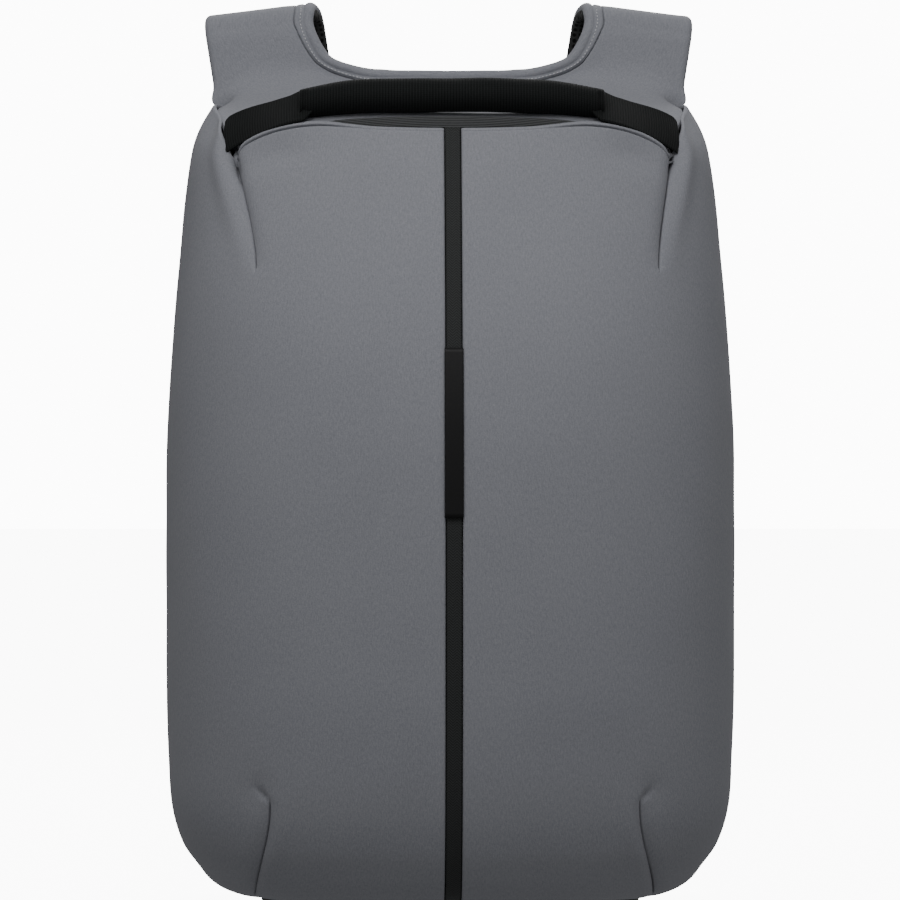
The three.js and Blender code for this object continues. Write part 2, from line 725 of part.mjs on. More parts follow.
function backOutline(inset) {
  const low = baseThickness + 2 * gap + inset;
  const foot = backTop * archFoot;
  const across = (z) => wallEnd(z) - 2 * gap - inset;
  const right = steps(0, 1, 11).map((t) => {
    const z = mix(low, foot, t ** 1.6);
    return new THREE.Vector2(across(z), z);
  });
  const exponent = 2 / backSquareness;
  for (const t of steps(0, Math.PI / 2, 9).slice(1)) {
    const z = foot + (backTop - inset - foot) * Math.sin(t) ** exponent;
    right.push(new THREE.Vector2(Math.min(across(foot) * Math.cos(t) ** exponent, across(z)), z));
  }
  right[right.length - 1].x = 0;
  const left = right.slice(0, -1).map((p) => new THREE.Vector2(-p.x, p.y));
  return [...right, ...left.reverse()];
}

// A flat piece in the back plane, between two distances behind it
function backPlate(outline, hole, from, to) {
  const shape = new THREE.Shape(outline);
  if (hole) shape.holes.push(new THREE.Path(hole));
  const plate = new THREE.ExtrudeGeometry(shape, { depth: to - from, bevelEnabled: false });
  return plate.rotateX(Math.PI / 2).translate(0, to, 0);
}

function makeZip() {
  const chainInset = (zipWidth - zipChainWidth) / 2;
  const tape = backPlate(backOutline(0), backOutline(zipWidth), -zipThickness, 0);
  const outer = backOutline(chainInset);
  const chain = backPlate(outer, backOutline(chainInset + zipChainWidth), -zipThickness / 2, zipChainHeight);
  return joined(tape, chain);
}

// The back panel: rows by height, columns across. Its two cushions leave an air channel.
const channelShare = 0.12; // half width of the channel as a share of the panel's

function makeBackPanel() {
  const outline = backOutline(zipWidth + gap);
  const right = outline.slice(0, (outline.length + 1) / 2);
  const inChannel = steps(-1.2, 1.2, 4).map((share) => share * channelShare);
  const across = [...steps(-1, -0.3, 5), ...inChannel, ...steps(0.3, 1, 5)];
  const low = right[0].y;
  const high = right[right.length - 1].y;
  const crown = (share, height) => {
    const ends = 1 - Math.abs(2 * height - 1) ** 6;
    const cushion = 1 - Math.abs(share) ** 4;
    const middle = Math.exp(-((share / channelShare) ** 2)) * channelDepth * ends;
    return zipChainHeight / 2 + (backPadding - zipChainHeight) * cushion * ends - middle;
  };
  const face = (behind) =>
    right.map(({ x, y: z }) => {
      const height = (z - low) / (high - low);
      return across.map((share) => new THREE.Vector3(x * share, behind(share, height), z));
    });
  return wallSolid(face(crown), face(() => -backInside));
}

// Zip slider with its pull, on the zip's left side just below the arch
function makeSlider() {
  const z = backTop * archFoot - pullLength;
  const x = -(wallEnd(z) - 2 * gap - zipWidth / 2);
  const behind = zipChainHeight + gap;
  const body = new THREE.BoxGeometry(sliderWidth, sliderThickness, sliderWidth * 1.2);
  body.translate(x, behind + sliderThickness / 2, z);
  const pull = new THREE.BoxGeometry(sliderWidth * 0.7, sliderThickness / 2, pullLength);
  pull.translate(x, behind + sliderThickness * 0.9, z - pullLength / 2 - sliderWidth * 0.3);
  return joined(body, pull);
}

// A flat webbing along a path, given as points on its middle line. Its width runs across.
function ribbon(path, width, thickness, across) {
  const at = (i) => path[clamp(i, 0, path.length - 1)];
  const face = (out) =>
    path.map((middle, i) => {
      const along = at(i + 1).clone().sub(at(i - 1)).normalize();
      const normal = along.clone().cross(across).normalize();
      return [-0.5, 0.5].map((w) =>
        middle.clone().addScaledVector(across, w * width).addScaledVector(normal, out),
      );
    });
  return wallSolid(face(thickness / 2), face(-thickness / 2));
}

// The middle of the strap's end, just below it
function strapTip() {
  const tip = strapSheet(endRow, 0.5).addScaledVector(sheetNormal(endRow, 0.5), -strapPadding / 2);
  tip.z -= 3 * gap;
  return tip;
}

// The side panels' edge at the back plane, as distance from the middle
const rimAt = (z) => halfWidth(z) - backInset;

// The adjuster hangs from the strap's end: an upright frame round one slot.
function makeAdjuster() {
  const tip = strapTip();
  const rectangle = (half, top, low) =>
    [[-half, top], [-half, low], [half, low], [half, top]].map(([x, z]) => new THREE.Vector2(x, z));
  const frame = rectangle(adjusterWidth / 2, 0, -adjusterHeight);
  const slotLow = adjusterBar - adjusterHeight;
  const slot = rectangle(lowerWebbing / 2 + 4 * gap, slotLow + adjusterSlot, slotLow);
  return backPlate(frame, slot, -adjusterThickness / 2, adjusterThickness / 2).translate(tip.x, tip.y, tip.z);
}

// The webbing runs up from the corner tab, round the adjuster's lowest bar and down to its end.
function makeLowerWebbing() {
  const tip = strapTip();
  const turn = adjusterThickness / 2 + webbingThickness / 2 + 3 * gap;
  const middle = new THREE.Vector3(tip.x, tip.y, tip.z - adjusterHeight + adjusterBar / 2);
  const foot = new THREE.Vector3(rimAt(tabTop) - lowerWebbing / 2, tabBack, tabTop + 2 * gap);
  const path = [];
  const across = new THREE.Vector3(1, 0, 0);
  const top = new THREE.Vector3(middle.x, middle.y - turn, middle.z - turn);
  for (const t of steps(0, 1, 8).slice(0, -1)) path.push(foot.clone().lerp(top, t));
  const over = adjusterBar / 2 + webbingThickness / 2 + 2 * gap;
  for (const angle of steps(0, Math.PI, 8)) {
    const y = middle.y - turn * Math.cos(angle);
    path.push(new THREE.Vector3(middle.x, y, middle.z + over * Math.sin(angle) ** 0.6));
  }
  for (const t of steps(0.25, 1, 3))
    path.push(new THREE.Vector3(middle.x, middle.y + turn, middle.z - tailLength * t));
  return ribbon(path, lowerWebbing, webbingThickness, across);
}

// A tab sewn to the side panel's wall at the bottom corner, which holds the lower webbing
function makeTab() {
  const outer = steps(tabLow, tabTop, 4).map((z) => new THREE.Vector2(rimAt(z), z));
  const seam = outer.map((p) => new THREE.Vector2(p.x - wall, p.y)).reverse();
  const inner = [
    new THREE.Vector2(rimAt(tabTop) - lowerWebbing, tabTop),
    new THREE.Vector2(rimAt(tabLow) - tabFoot, tabLow),
  ];
  const plate = backPlate([...outer, ...inner], null, tabBack - tabThickness / 2, tabBack + tabThickness / 2);
  return joined(plate, backPlate([...outer, ...seam], null, gap, tabBack));
}

const finish = (name, color, roughness) =>
  new THREE.MeshStandardMaterial({ name, color, roughness, metalness: 0 });
const greyFabric = finish("grey_fabric", 0x85868a, 0.85);
const blackWebbing = finish("black_webbing", 0x2a2b2b, 0.75);
const blackMesh = finish("black_mesh", 0x1d1e1e, 0.9);
const blackFabric = finish("black_fabric", 0x232424, 0.85);
const zipTape = finish("zip_tape", 0x202121, 0.6);
const blackPlastic = finish("black_plastic", 0x1a1a1b, 0.4);

const bag = new THREE.Group();

function add(name, geometry, material) {
  const piece = new THREE.Mesh(geometry, material);
  piece.name = name;
  bag.add(piece);
}

function addPair(name, geometry, material) {
  add(name + "_right", geometry, material);
  add(name + "_left", mirrored(geometry), material);
}

addPair("panel", makePanel(), greyFabric);
add("centre_strip", makeStrip(), blackWebbing);
add("strip_label", makeLabel(), blackPlastic);
add("base_panel", makeBase(), blackFabric);
add("yoke", makeYoke(), greyFabric);
add("neck_binding", makeBinding(), greyFabric);
addPair("strap", makeStrap(), greyFabric);
addPair("strap_lining", makeLining(), blackMesh);
add("handle_webbing", makeWebbing(), blackWebbing);
add("handle_grip", makeGrip(), blackWebbing);
add("zip", makeZip(), zipTape);
add("zip_slider", makeSlider(), blackPlastic);
add("back_panel", makeBackPanel(), blackMesh);
addPair("adjuster", makeAdjuster(), blackPlastic);
addPair("lower_webbing", makeLowerWebbing(), blackWebbing);
addPair("webbing_tab", makeTab(), greyFabric);

// The origin goes to the middle of the bag's base.
const bounds = new THREE.Box3().setFromObject(bag);
const middle = bounds.getCenter(new THREE.Vector3());
for (const piece of bag.children) piece.geometry.translate(-middle.x, -middle.y, -bounds.min.z);

export default bag;
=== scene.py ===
# A grey laptop backpack: rounded front panels, a black centre strip, a padded top handle and
# padded shoulder straps, with its zip against the wearer's back.
# Shapes are worked out in millimetres with the back plane at y = 0, and placed in metres.
import math

import bmesh
import bpy
import numpy as np
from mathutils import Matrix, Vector


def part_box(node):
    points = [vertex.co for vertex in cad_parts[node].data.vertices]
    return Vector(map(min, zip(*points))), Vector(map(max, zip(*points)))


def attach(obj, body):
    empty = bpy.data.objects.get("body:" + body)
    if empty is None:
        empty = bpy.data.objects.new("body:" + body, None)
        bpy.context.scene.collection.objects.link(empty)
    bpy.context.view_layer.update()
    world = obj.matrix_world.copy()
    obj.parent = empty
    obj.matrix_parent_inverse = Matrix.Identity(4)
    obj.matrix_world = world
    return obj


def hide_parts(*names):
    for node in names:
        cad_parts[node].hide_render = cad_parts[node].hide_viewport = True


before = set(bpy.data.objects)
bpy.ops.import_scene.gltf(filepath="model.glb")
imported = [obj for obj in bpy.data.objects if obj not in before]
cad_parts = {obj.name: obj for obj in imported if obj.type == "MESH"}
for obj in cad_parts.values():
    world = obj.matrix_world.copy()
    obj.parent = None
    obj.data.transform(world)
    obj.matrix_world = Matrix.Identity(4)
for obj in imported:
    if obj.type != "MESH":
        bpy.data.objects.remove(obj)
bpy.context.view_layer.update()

MM = 0.001
BACK_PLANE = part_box("panel_right")[1].y

# Camera: level, a little to the left of straight ahead
CAMERA_TARGET = Vector((0.0, 0.0243, 0.2334))
CAMERA_DISTANCE = 3.2
CAMERA_YAW = math.radians(1.0)
VIEW_WIDTH = 0.4683  # width of the view at the target


def make_camera():
    data = bpy.data.cameras.new("camera")
    camera = bpy.data.objects.new("camera", data)
    bpy.context.scene.collection.objects.link(camera)
    back = Vector((-math.sin(CAMERA_YAW), -math.cos(CAMERA_YAW), 0.0))
    camera.location = CAMERA_TARGET + back * CAMERA_DISTANCE
    camera.rotation_euler = (-back).to_track_quat("-Z", "Y").to_euler()
    data.angle = 2 * math.atan(VIEW_WIDTH / 2 / CAMERA_DISTANCE)
    bpy.context.scene.camera = camera


make_camera()

# Overall sizes
BAG_WIDTH = 295.0
BAG_DEPTH = 160.0
SIDE_TOP = 414.0
FRONT_TOP = 397.5
CORNER_DROP = 13.0
EDGE_CREST = 9.0
NECK_TOP = 431.0
WALL = 3.0
GAP = 0.3
BASE_THICKNESS = 2.0
STRAP_PADDING = 7.0
LINING = 2.0
STRIP_WIDTH = 7.8
CHANNEL = 8.6
DART_REACH = 113.0
TOP_DART_LENGTH = 60.0
LOWER_DART_TIP = 56.0
DART_DEPTH = 4.0
DART_WIDTH = 9.0
DART_MARGIN = 0.93
BELT_DEPTH = 35.0
BACK_INSET = 6.0
SQUARENESS = 2.6
CORNER_TOP = FRONT_TOP - CORNER_DROP
CORNER_END = 1.7

# Neckline and straps
NECK_HALF = 50.0
NECK_SETBACK = 6.0
NECK_RAISE = 2.4  # how far the neckline's middle is fuller than the drawn line
NECK_RAISE_SPREAD = (14, 52)
NECK_RAISE_DEPTH = (-42, -8)
STRAP_INNER = 71.0
STRAP_OUTER = 128.6
STRAP_RISE = 38.0
STRAP_REACH = 42.0
SHOULDER_SLOPE = 6.8
STRAP_END = 186.0
BINDING_WIDTH = 8.5
BINDING_THICKNESS = 6.0
EDGE_TUCK = 1.5
YOKE_WALL = 3.0
YOKE_HEM = 1.2
YOKE_INSET = WALL + 5 * GAP
FRONT_SHARE = 0.72
RIM_SHARE = 0.92
RIM_END = 1.93
HAND_SHARE = 0.5
SIDE_SHARE = 0.85
COLLAR_STATION = 1.6
SEAM_STATION = 2.6
LEVEL_STATION = 5.0
END_STATION = 8.8

# Handle
WEBBING_WIDTH = 25.0
WEBBING_THICKNESS = 1.8
HANDLE_LEAN = math.radians(43)
GRIP_LENGTH = 156.0
GRIP_HEIGHT = 17.2
GRIP_DEPTH = 16.0
HANDLE_HEIGHT = 16.5
HANDLE_DROP = 19.5
HANDLE_SETBACK = 5.0
HANDLE_END_SETBACK = 9.5


def table(names, *rows):
    """A table as one array for each named column."""
    return dict(zip(names.split(), np.array(rows, float).T))


# Width and depth of the bag as shares of half of BAG_WIDTH and of BAG_DEPTH, by height as a
# share of SIDE_TOP
BODY = table(
    "height width depth",
    (0.0, 0.57, 0.63),
    (0.005, 0.655, 0.69),
    (0.0107, 0.755, 0.75),
    (0.024, 0.835, 0.806),
    (0.0435, 0.885, 0.853),
    (0.0725, 0.942, 0.9),
    (0.1185, 0.98, 0.944),
    (0.181, 0.991, 0.975),
    (0.278, 0.998, 0.997),
    (0.46, 1.0, 1.0),
    (0.593, 0.992, 0.981),
    (0.702, 0.974, 0.934),
    (0.787, 0.956, 0.872),
    (0.872, 0.933, 0.797),
    (0.937, 0.908, 0.731),
    (0.969, 0.879, 0.697),
    (1.0, 0.829, 0.656),
)
# Distance of the darts from the middle, as a share of DART_REACH
DARTS = table(
    "height reach",
    (0.0, 0.95),
    (0.02, 0.935),
    (0.12, 0.865),
    (0.45, 0.87),
    (0.8, 0.935),
    (0.937, 1.0),
    (1.0, 1.01),
)
# The yoke from the front edge (station 0) to the neckline (station 1)
YOKE = table(
    "station back middle side",
    (0.0, 0.0, 0.0, 0.0),
    (0.17, 0.12, 0.05, 0.16),
    (0.34, 0.27, 0.11, 0.345),
    (0.5, 0.48, 0.2, 0.5),
    (0.67, 0.72, 0.4, 0.59),
    (0.84, 0.93, 0.7, 0.67),
    (1.0, 1.0, 1.0, 1.0),
)
# A strap from the neckline over the shoulder and down behind the bag
STRAP = table(
    "station back rise inner outer",
    (1.0, -1.0, 0.0, 0.8, 0.945),
    (1.3, -0.88, 0.3, 0.93, 0.97),
    (1.6, -0.66, 0.6, 1.0, 0.99),
    (1.85, -0.1, 0.87, 1.0, 1.0),
    (2.1, 0.2, 1.0, 0.99, 1.0),
    (2.35, 0.45, 0.93, 0.945, 0.99),
    (2.6, 0.63, 0.68, 0.915, 0.97),
    (2.9, 0.74, 0.33, 0.885, 0.94),
    (3.2, 0.83, 0.0, 0.865, 0.91),
    (4.0, 0.96, -0.15, 0.81, 0.86),
    (5.0, 1.0, -0.33, 0.77, 0.84),
    (6.0, 1.0, -0.52, 0.8, 0.84),
    (7.0, 0.95, -0.7, 0.92, 0.86),
    (8.0, 0.87, -0.87, 1.12, 0.88),
    (8.8, 0.8, -1.0, 1.26, 0.9),
)
# The neckline from its middle to the strap's inner edge
NECK = table(
    "along out station",
    (0.0, 0.0, 1.0),
    (0.25, 0.42, 1.01),
    (0.48, 0.8, 1.06),
    (0.62, 1.0, 1.125),
    (0.74, 1.14, 1.18),
    (0.84, 1.25, 1.26),
    (0.93, 1.34, 1.43),
    (1.0, 1.4, 1.6),
)


def smooth(keys, values, at):
    """Smooth curve through values, which stand at keys, read at other places."""
    keys, values, at = (np.asarray(a, float) for a in (keys, values, at))
    order = np.arange(len(keys))
    before = np.maximum(order - 1, 0)
    after = np.minimum(order + 1, len(keys) - 1)
    shape = (-1,) + (1,) * (values.ndim - 1)
    slopes = (values[after] - values[before]) / (keys[after] - keys[before]).reshape(shape)
    i = np.searchsorted(keys[1:-1], at)
    span = keys[i + 1] - keys[i]
    t = np.clip((at - keys[i]) / span, 0, 1)
    wide = at.shape + (1,) * (values.ndim - 1)
    t, span = t.reshape(wide), span.reshape(wide)
    start = values[i] * (2 * t**3 - 3 * t**2 + 1) + slopes[i] * span * (t**3 - 2 * t**2 + t)
    end = values[i + 1] * (3 * t**2 - 2 * t**3) + slopes[i + 1] * span * (t**3 - t**2)
    return start + end


def mix(a, b, t):
    return a + (b - a) * t


def ease(value, low, high):
    t = np.clip((value - low) / (high - low), 0, 1)
    return t * t * (3 - 2 * t)


def bell(value, width):
    return np.exp(-((value / width) ** 2))


def stack(x, y, z):
    return np.stack(np.broadcast_arrays(x, y, z), axis=-1).astype(float)


def unit(vectors):
    return vectors / np.maximum(np.linalg.norm(vectors, axis=-1, keepdims=True), 1e-12)


def ripple(points, length, seed):
    """Unevenness between about -1 and 1 in waves of about this length."""
    random = np.random.default_rng(seed)
    total = 0.0
    waves = 7
    for _ in range(waves):
        direction = random.normal(size=3)
        direction *= 2 * np.pi / length * random.uniform(0.7, 1.4) / np.linalg.norm(direction)
        total = total + np.sin(points @ direction + random.uniform(0, 2 * np.pi))
    return total / math.sqrt(waves)


# The bag's body


def half_width(z):
    return BAG_WIDTH / 2 * smooth(BODY["height"], BODY["width"], z / SIDE_TOP)


def depth(z):
    return BAG_DEPTH * smooth(BODY["height"], BODY["depth"], z / SIDE_TOP)


def dart_line(z):
    reach = DART_REACH * smooth(DARTS["height"], DARTS["reach"], z / SIDE_TOP)
    return np.minimum(reach, half_width(z) * DART_MARGIN)


def front_at(x, z):
    share = np.minimum(np.abs(x) / half_width(z), 1)
    bulge = depth(z) - BELT_DEPTH
    return -BELT_DEPTH - bulge * (1 - share**SQUARENESS) ** (1 / SQUARENESS)


def top_height(side):
    front = FRONT_TOP + EDGE_CREST * side**2 - (EDGE_CREST + CORNER_DROP) * side**5
    rim = mix(CORNER_TOP, SIDE_TOP, 1 - (2 - side) ** 4)
    return np.where(side <= 1, front, rim)


def pinch(z):
    upper = (z - (CORNER_TOP - TOP_DART_LENGTH)) / TOP_DART_LENGTH
    lower = (LOWER_DART_TIP - z) / LOWER_DART_TIP
    return DART_DEPTH * np.sqrt(np.clip(np.maximum(upper, lower), 0, 1))


def body(side, height, shift=None):
    """Points of the bag's surface, and their signed distance round it from the dart line.
    side runs from the strip (0) to the dart line (1), round the corner and to the back (2).
    shift says how far a dart lies outside its line, by height."""
    side, height = np.broadcast_arrays(np.asarray(side, float), np.asarray(height, float))
    z = mix(BASE_THICKNESS + GAP, top_height(side), height)
    width, dart = half_width(z), dart_line(z)
    bulge = depth(z) - BELT_DEPTH
    flat_x = mix(CHANNEL / 2, dart, np.minimum(side, 1))
    flat_y = front_at(flat_x, z)
    start = np.arctan2(dart, -BELT_DEPTH - front_at(dart, z))
    angle = mix(start, np.pi / 2, np.clip((side - 1) / (CORNER_END - 1), 0, 1))
    spread = (np.sin(angle) / width) ** SQUARENESS
    spread = spread + (np.maximum(np.cos(angle), 0) / bulge) ** SQUARENESS
    radius = spread ** (-1 / SQUARENESS)
    turn = np.clip((side - CORNER_END) / (2 - CORNER_END), 0, 1)
    on_front, at_back = side <= 1, side > CORNER_END
    round_x = np.where(at_back, width - BACK_INSET * turn**2, radius * np.sin(angle))
    x = np.where(on_front, flat_x, round_x)
    round_y = -BELT_DEPTH - radius * np.cos(angle)
    y = np.where(on_front, flat_y, np.where(at_back, -BELT_DEPTH * (1 - turn), round_y))
    round_off = np.where(at_back, BAG_DEPTH, (angle - start) * radius)
    off_dart = np.where(on_front, flat_x - dart, round_off)
    if shift:
        off_dart = off_dart - shift(z)
    inward = pinch(z) * np.maximum(1 - np.abs(off_dart) / DART_WIDTH, 0) ** 2
    towards = unit(stack(-x * 0.5, -BAG_DEPTH / 3 - y, 0))
    return stack(x, y, z) + towards * inward[..., None], off_dart


def body_normal(side, height):
    step_side, step_height = 0.008, 0.004
    low, high = np.clip(side - step_side, 0, 2), np.clip(side + step_side, 0, 2)
    du = body(high, height)[0] - body(low, height)[0]
    below, above = np.clip(height - step_height, 0, 1), np.clip(height + step_height, 0, 1)
    dv = body(side, above)[0] - body(side, below)[0]
    return unit(np.cross(du, dv))


# The sheet of the yoke and straps. A place on it is a row, which runs from the middle of the
# neckline (0) to the collar's end (1) and down the strap, and a column from the neckline's edge
# (0) by way of the binding's seam (SEAM_COLUMN) to the outer edge (LAST_COLUMN).


def sheet_point(x, station):
    out = np.abs(x)
    back = smooth(STRAP["station"], STRAP["back"], station)
    rise = smooth(STRAP["station"], STRAP["rise"], station)
    y = back * np.where(back < 0, NECK_SETBACK, STRAP_REACH)
    z = NECK_TOP + rise * np.where(rise < 0, NECK_TOP - STRAP_END, STRAP_RISE)
    across = (out - STRAP_INNER) / (STRAP_OUTER - STRAP_INNER)
    over = ease(station, 1, COLLAR_STATION)
    level = 1 - ease(station, SEAM_STATION, LEVEL_STATION)
    strap = stack(x, y, z - SHOULDER_SLOPE * np.clip(across, 0, 1.1) * over * level)
    front = front_edge(np.minimum(out, DART_REACH))
    back = smooth(YOKE["station"], YOKE["back"], station)
    middle = smooth(YOKE["station"], YOKE["middle"], station)
    side = smooth(YOKE["station"], YOKE["side"], station)
    aside = ease(out, DART_REACH * HAND_SHARE, DART_REACH * SIDE_SHARE)
    y = mix(front[..., 1], -NECK_SETBACK, back)
    yoke = stack(x, y, mix(front[..., 2], NECK_TOP, mix(middle, side, aside)))
    return np.where((np.asarray(station) >= 1)[..., None], strap, yoke)


def front_edge(x):
    side = np.clip((x - CHANNEL / 2) / (dart_line(CORNER_TOP) - CHANNEL / 2), 0, 1)
    z = top_height(side) - EDGE_TUCK
    return stack(x, front_at(x, z) + YOKE_INSET, z)


def tucked_edge(side):
    height = 1 - EDGE_TUCK / (top_height(side) - BASE_THICKNESS)
    return body(side, height)[0] - body_normal(side, height) * YOKE_INSET


def outer_edge(along):
    if along <= FRONT_SHARE:
        edge = tucked_edge(along / FRONT_SHARE)
        edge[0] *= min(along / FRONT_SHARE / 0.1, 1)
        return edge
    on_rim = min((along - FRONT_SHARE) / (RIM_SHARE - FRONT_SHARE), 1)
    rim = tucked_edge(mix(1, RIM_END, on_rim))
    rim[2] += (EDGE_TUCK + YOKE_HEM + 3 * GAP) * on_rim**3
    if along <= RIM_SHARE:
        return rim
    up = (along - RIM_SHARE) / (1 - RIM_SHARE)
    outer = STRAP_OUTER * smooth(STRAP["station"], STRAP["outer"], COLLAR_STATION)
    strap = sheet_point(outer, COLLAR_STATION)
    spread = mix(rim[0], half_width(SIDE_TOP), min(up * 20, 1))
    return stack(mix(spread, outer, up), mix(rim[1], strap[1], up**0.5), mix(rim[2], strap[2], up))


def station_at(y, x):
    low, high = 0.0, 1.0
    for _ in range(24):
        middle = (low + high) / 2
        if sheet_point(x, min(middle, 1 - 1e-9))[1] < y:
            low = middle
        else:
            high = middle
    return (low + high) / 2


def collar_line(along, out):
    """Points of the collar on the line from the neckline (out 0) to the outer edge (out 1)."""
    inner = NECK_HALF * smooth(NECK["along"], NECK["out"], along)
    inner_station = smooth(NECK["along"], NECK["station"], along)
    edge = outer_edge(along)
    if along <= RIM_SHARE:
        edge_station = station_at(edge[1], edge[0])
    else:
        rim = outer_edge(RIM_SHARE)
        up = (along - RIM_SHARE) / (1 - RIM_SHARE)
        edge_station = mix(station_at(rim[1], rim[0]), COLLAR_STATION, up)
    points = sheet_point(mix(inner, edge[0], out), mix(inner_station, edge_station, out))
    miss = edge - sheet_point(edge[0], edge_station)
    return points + out[:, None] ** 3 * miss


def strap_line(row, out):
    if row <= 1:
        return collar_line(row, out)
    station = COLLAR_STATION + (row - 1)
    inner = STRAP_INNER * smooth(STRAP["station"], STRAP["inner"], station)
    outer = STRAP_OUTER * smooth(STRAP["station"], STRAP["outer"], station)
    return sheet_point(mix(inner, outer, out), np.full_like(out, station))


SEAM_ROW = 1 + SEAM_STATION - COLLAR_STATION
END_ROW = 1 + END_STATION - COLLAR_STATION
ROOT_ROW = 0.93
OVER_RIM = RIM_SHARE + 0.004
SEAM_COLUMN = 2
LAST_COLUMN = 10
RELAXING = 4
FINER = 16


def sheet_width(row):
    ends = strap_line(row, np.array([0.0, 1.0]))
    return np.linalg.norm(ends[1] - ends[0])


def coarse_sheet():
    """The rows of the sheet's grid, and its points with both halves of the bag."""
    collar = [*np.linspace(0, FRONT_SHARE * 0.9, 9), *np.linspace(FRONT_SHARE, RIM_SHARE, 7)]
    collar += [OVER_RIM, *np.linspace(RIM_SHARE + 0.025, 1, 4)]
    arch, strap = np.linspace(1, SEAM_ROW, 9)[1:], np.linspace(SEAM_ROW, END_ROW, 15)[1:]
    rows = np.array([*collar, *arch, *strap])
    grid = []
    for row in rows:
        seam = BINDING_WIDTH / sheet_width(row)
        out = np.array([0, seam / 2, *np.linspace(seam, 1, LAST_COLUMN - 1)])
        grid.append(strap_line(row, out))
    half = np.array(grid)
    rows = np.concatenate([-rows[:0:-1], rows])
    grid = np.concatenate([half[:0:-1] * (-1, 1, 1), half])
    loose = np.abs(rows) < collar[-1] - 1e-6
    for _ in range(RELAXING):
        around = grid[:-2, 1:-1] + grid[2:, 1:-1] + grid[1:-1, :-2] + grid[1:-1, 2:]
        free = loose[1:-1, None, None] & (np.arange(1, LAST_COLUMN) > SEAM_COLUMN)[None, :, None]
        grid[1:-1, 1:-1] = np.where(free, around / 4, grid[1:-1, 1:-1])
    return rows, grid


def grid_normals(points):
    normals = np.cross(np.gradient(points, axis=1), np.gradient(points, axis=0))
    return unit(normals)


class Sheet:
    """A fine lattice of the sheet's points and normals, from which any place is read."""

    def __init__(self):
        rows, coarse = coarse_sheet()
        between = [np.linspace(a, b, FINER + 1) for a, b in zip(rows, rows[1:])]
        self.rows = np.unique(np.concatenate(between))
        self.columns = np.linspace(0, LAST_COLUMN, LAST_COLUMN * FINER + 1)
        by_row = smooth(rows, coarse, self.rows)
        points = smooth(np.arange(LAST_COLUMN + 1), by_row.swapaxes(0, 1), self.columns)
        self.points = points.swapaxes(0, 1)
        x, y, _ = np.moveaxis(self.points, -1, 0)
        collar = (np.abs(self.rows) < 1)[:, None]
        in_middle = (1 - ease(np.abs(x), *NECK_RAISE_SPREAD)) * ease(y, *NECK_RAISE_DEPTH)
        self.points[..., 2] += NECK_RAISE * collar * in_middle
        self.normals = grid_normals(self.points)

    def read(self, row, column):
        """Points and outward normals at places given by arrays of rows and columns."""
        row, column = np.broadcast_arrays(row, column)
        r = np.interp(row, self.rows, np.arange(len(self.rows)))
        c = np.interp(column, self.columns, np.arange(len(self.columns)))
        r0 = np.minimum(r.astype(int), len(self.rows) - 2)
        c0 = np.minimum(c.astype(int), len(self.columns) - 2)
        fr, fc = (r - r0)[..., None], (c - c0)[..., None]
        read = []
        for layer in (self.points, self.normals):
            near = mix(layer[r0, c0], layer[r0, c0 + 1], fc)
            far = mix(layer[r0 + 1, c0], layer[r0 + 1, c0 + 1], fc)
            read.append(mix(near, far, fr))
        return read[0], unit(read[1])


sheet = Sheet()

# Meshes


def grid_piece(name, points, slot, replaced, mirror=False, closed=False, cloth_origin=0, weld=0.0):
    """A piece whose mesh is a grid with these points, in rows and columns. Where closed is true
    the columns run round and meet. Its cloth map gives lengths along the surface in metres."""
    if mirror:
        points = points * (-1, 1, 1)
    if closed:
        points = np.concatenate([points, points[:, :1]], axis=1)
    rows, columns = points.shape[:2]
    across = np.linalg.norm(np.diff(points, axis=1, prepend=points[:, :1]), axis=-1).cumsum(1)
    across -= across[:, cloth_origin][:, None]
    along = np.linalg.norm(np.diff(points, axis=0, prepend=points[:1]), axis=-1).cumsum(0)
    if closed:
        along[:] = along.mean(1, keepdims=True)
    work = bmesh.new()
    bmesh.ops.create_grid(work, x_segments=columns - 1, y_segments=rows - 1, size=1)
    mesh = bpy.data.meshes.new(name)
    work.to_mesh(mesh)
    spots = np.empty(len(mesh.vertices) * 3)
    mesh.vertices.foreach_get("co", spots)
    spots = spots.reshape(-1, 3)[:, :2]
    low, high = spots.min(0), spots.max(0)
    column, row = np.rint((spots - low) / (high - low) * (columns - 1, rows - 1)).astype(int).T
    mesh.vertices.foreach_set("co", (points[row, column] * MM + (0, BACK_PLANE, 0)).ravel())
    corners = np.empty(len(mesh.loops), int)
    mesh.loops.foreach_get("vertex_index", corners)
    lengths = np.stack([across, along], -1)[row, column] * MM
    mesh.uv_layers.new(name="cloth").data.foreach_set("uv", lengths[corners].ravel())
    work.clear()
    work.from_mesh(mesh)
    bpy.data.meshes.remove(mesh)
    facing = np.cross(np.gradient(points, axis=1), np.gradient(points, axis=0))
    if np.sum(facing * (points - points.mean((0, 1)))) < 0:
        bmesh.ops.reverse_faces(work, faces=work.faces)
    if closed or weld:
        bmesh.ops.remove_doubles(work, verts=work.verts, dist=max(weld, 1e-6))
    return finish_piece(name, work, slot, replaced, recalculate=closed)


def finish_piece(name, work, slot, replaced, recalculate=True):
    if recalculate:
        bmesh.ops.recalc_face_normals(work, faces=work.faces)
    mesh = bpy.data.meshes.new(name)
    work.to_mesh(mesh)
    work.free()
    mesh.shade_smooth()
    piece = bpy.data.objects.new(name, mesh)
    bpy.context.scene.collection.objects.link(piece)
    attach(piece, "root")
    if replaced:
        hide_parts(*replaced)
    mesh.materials.append(materials[slot])
    return piece


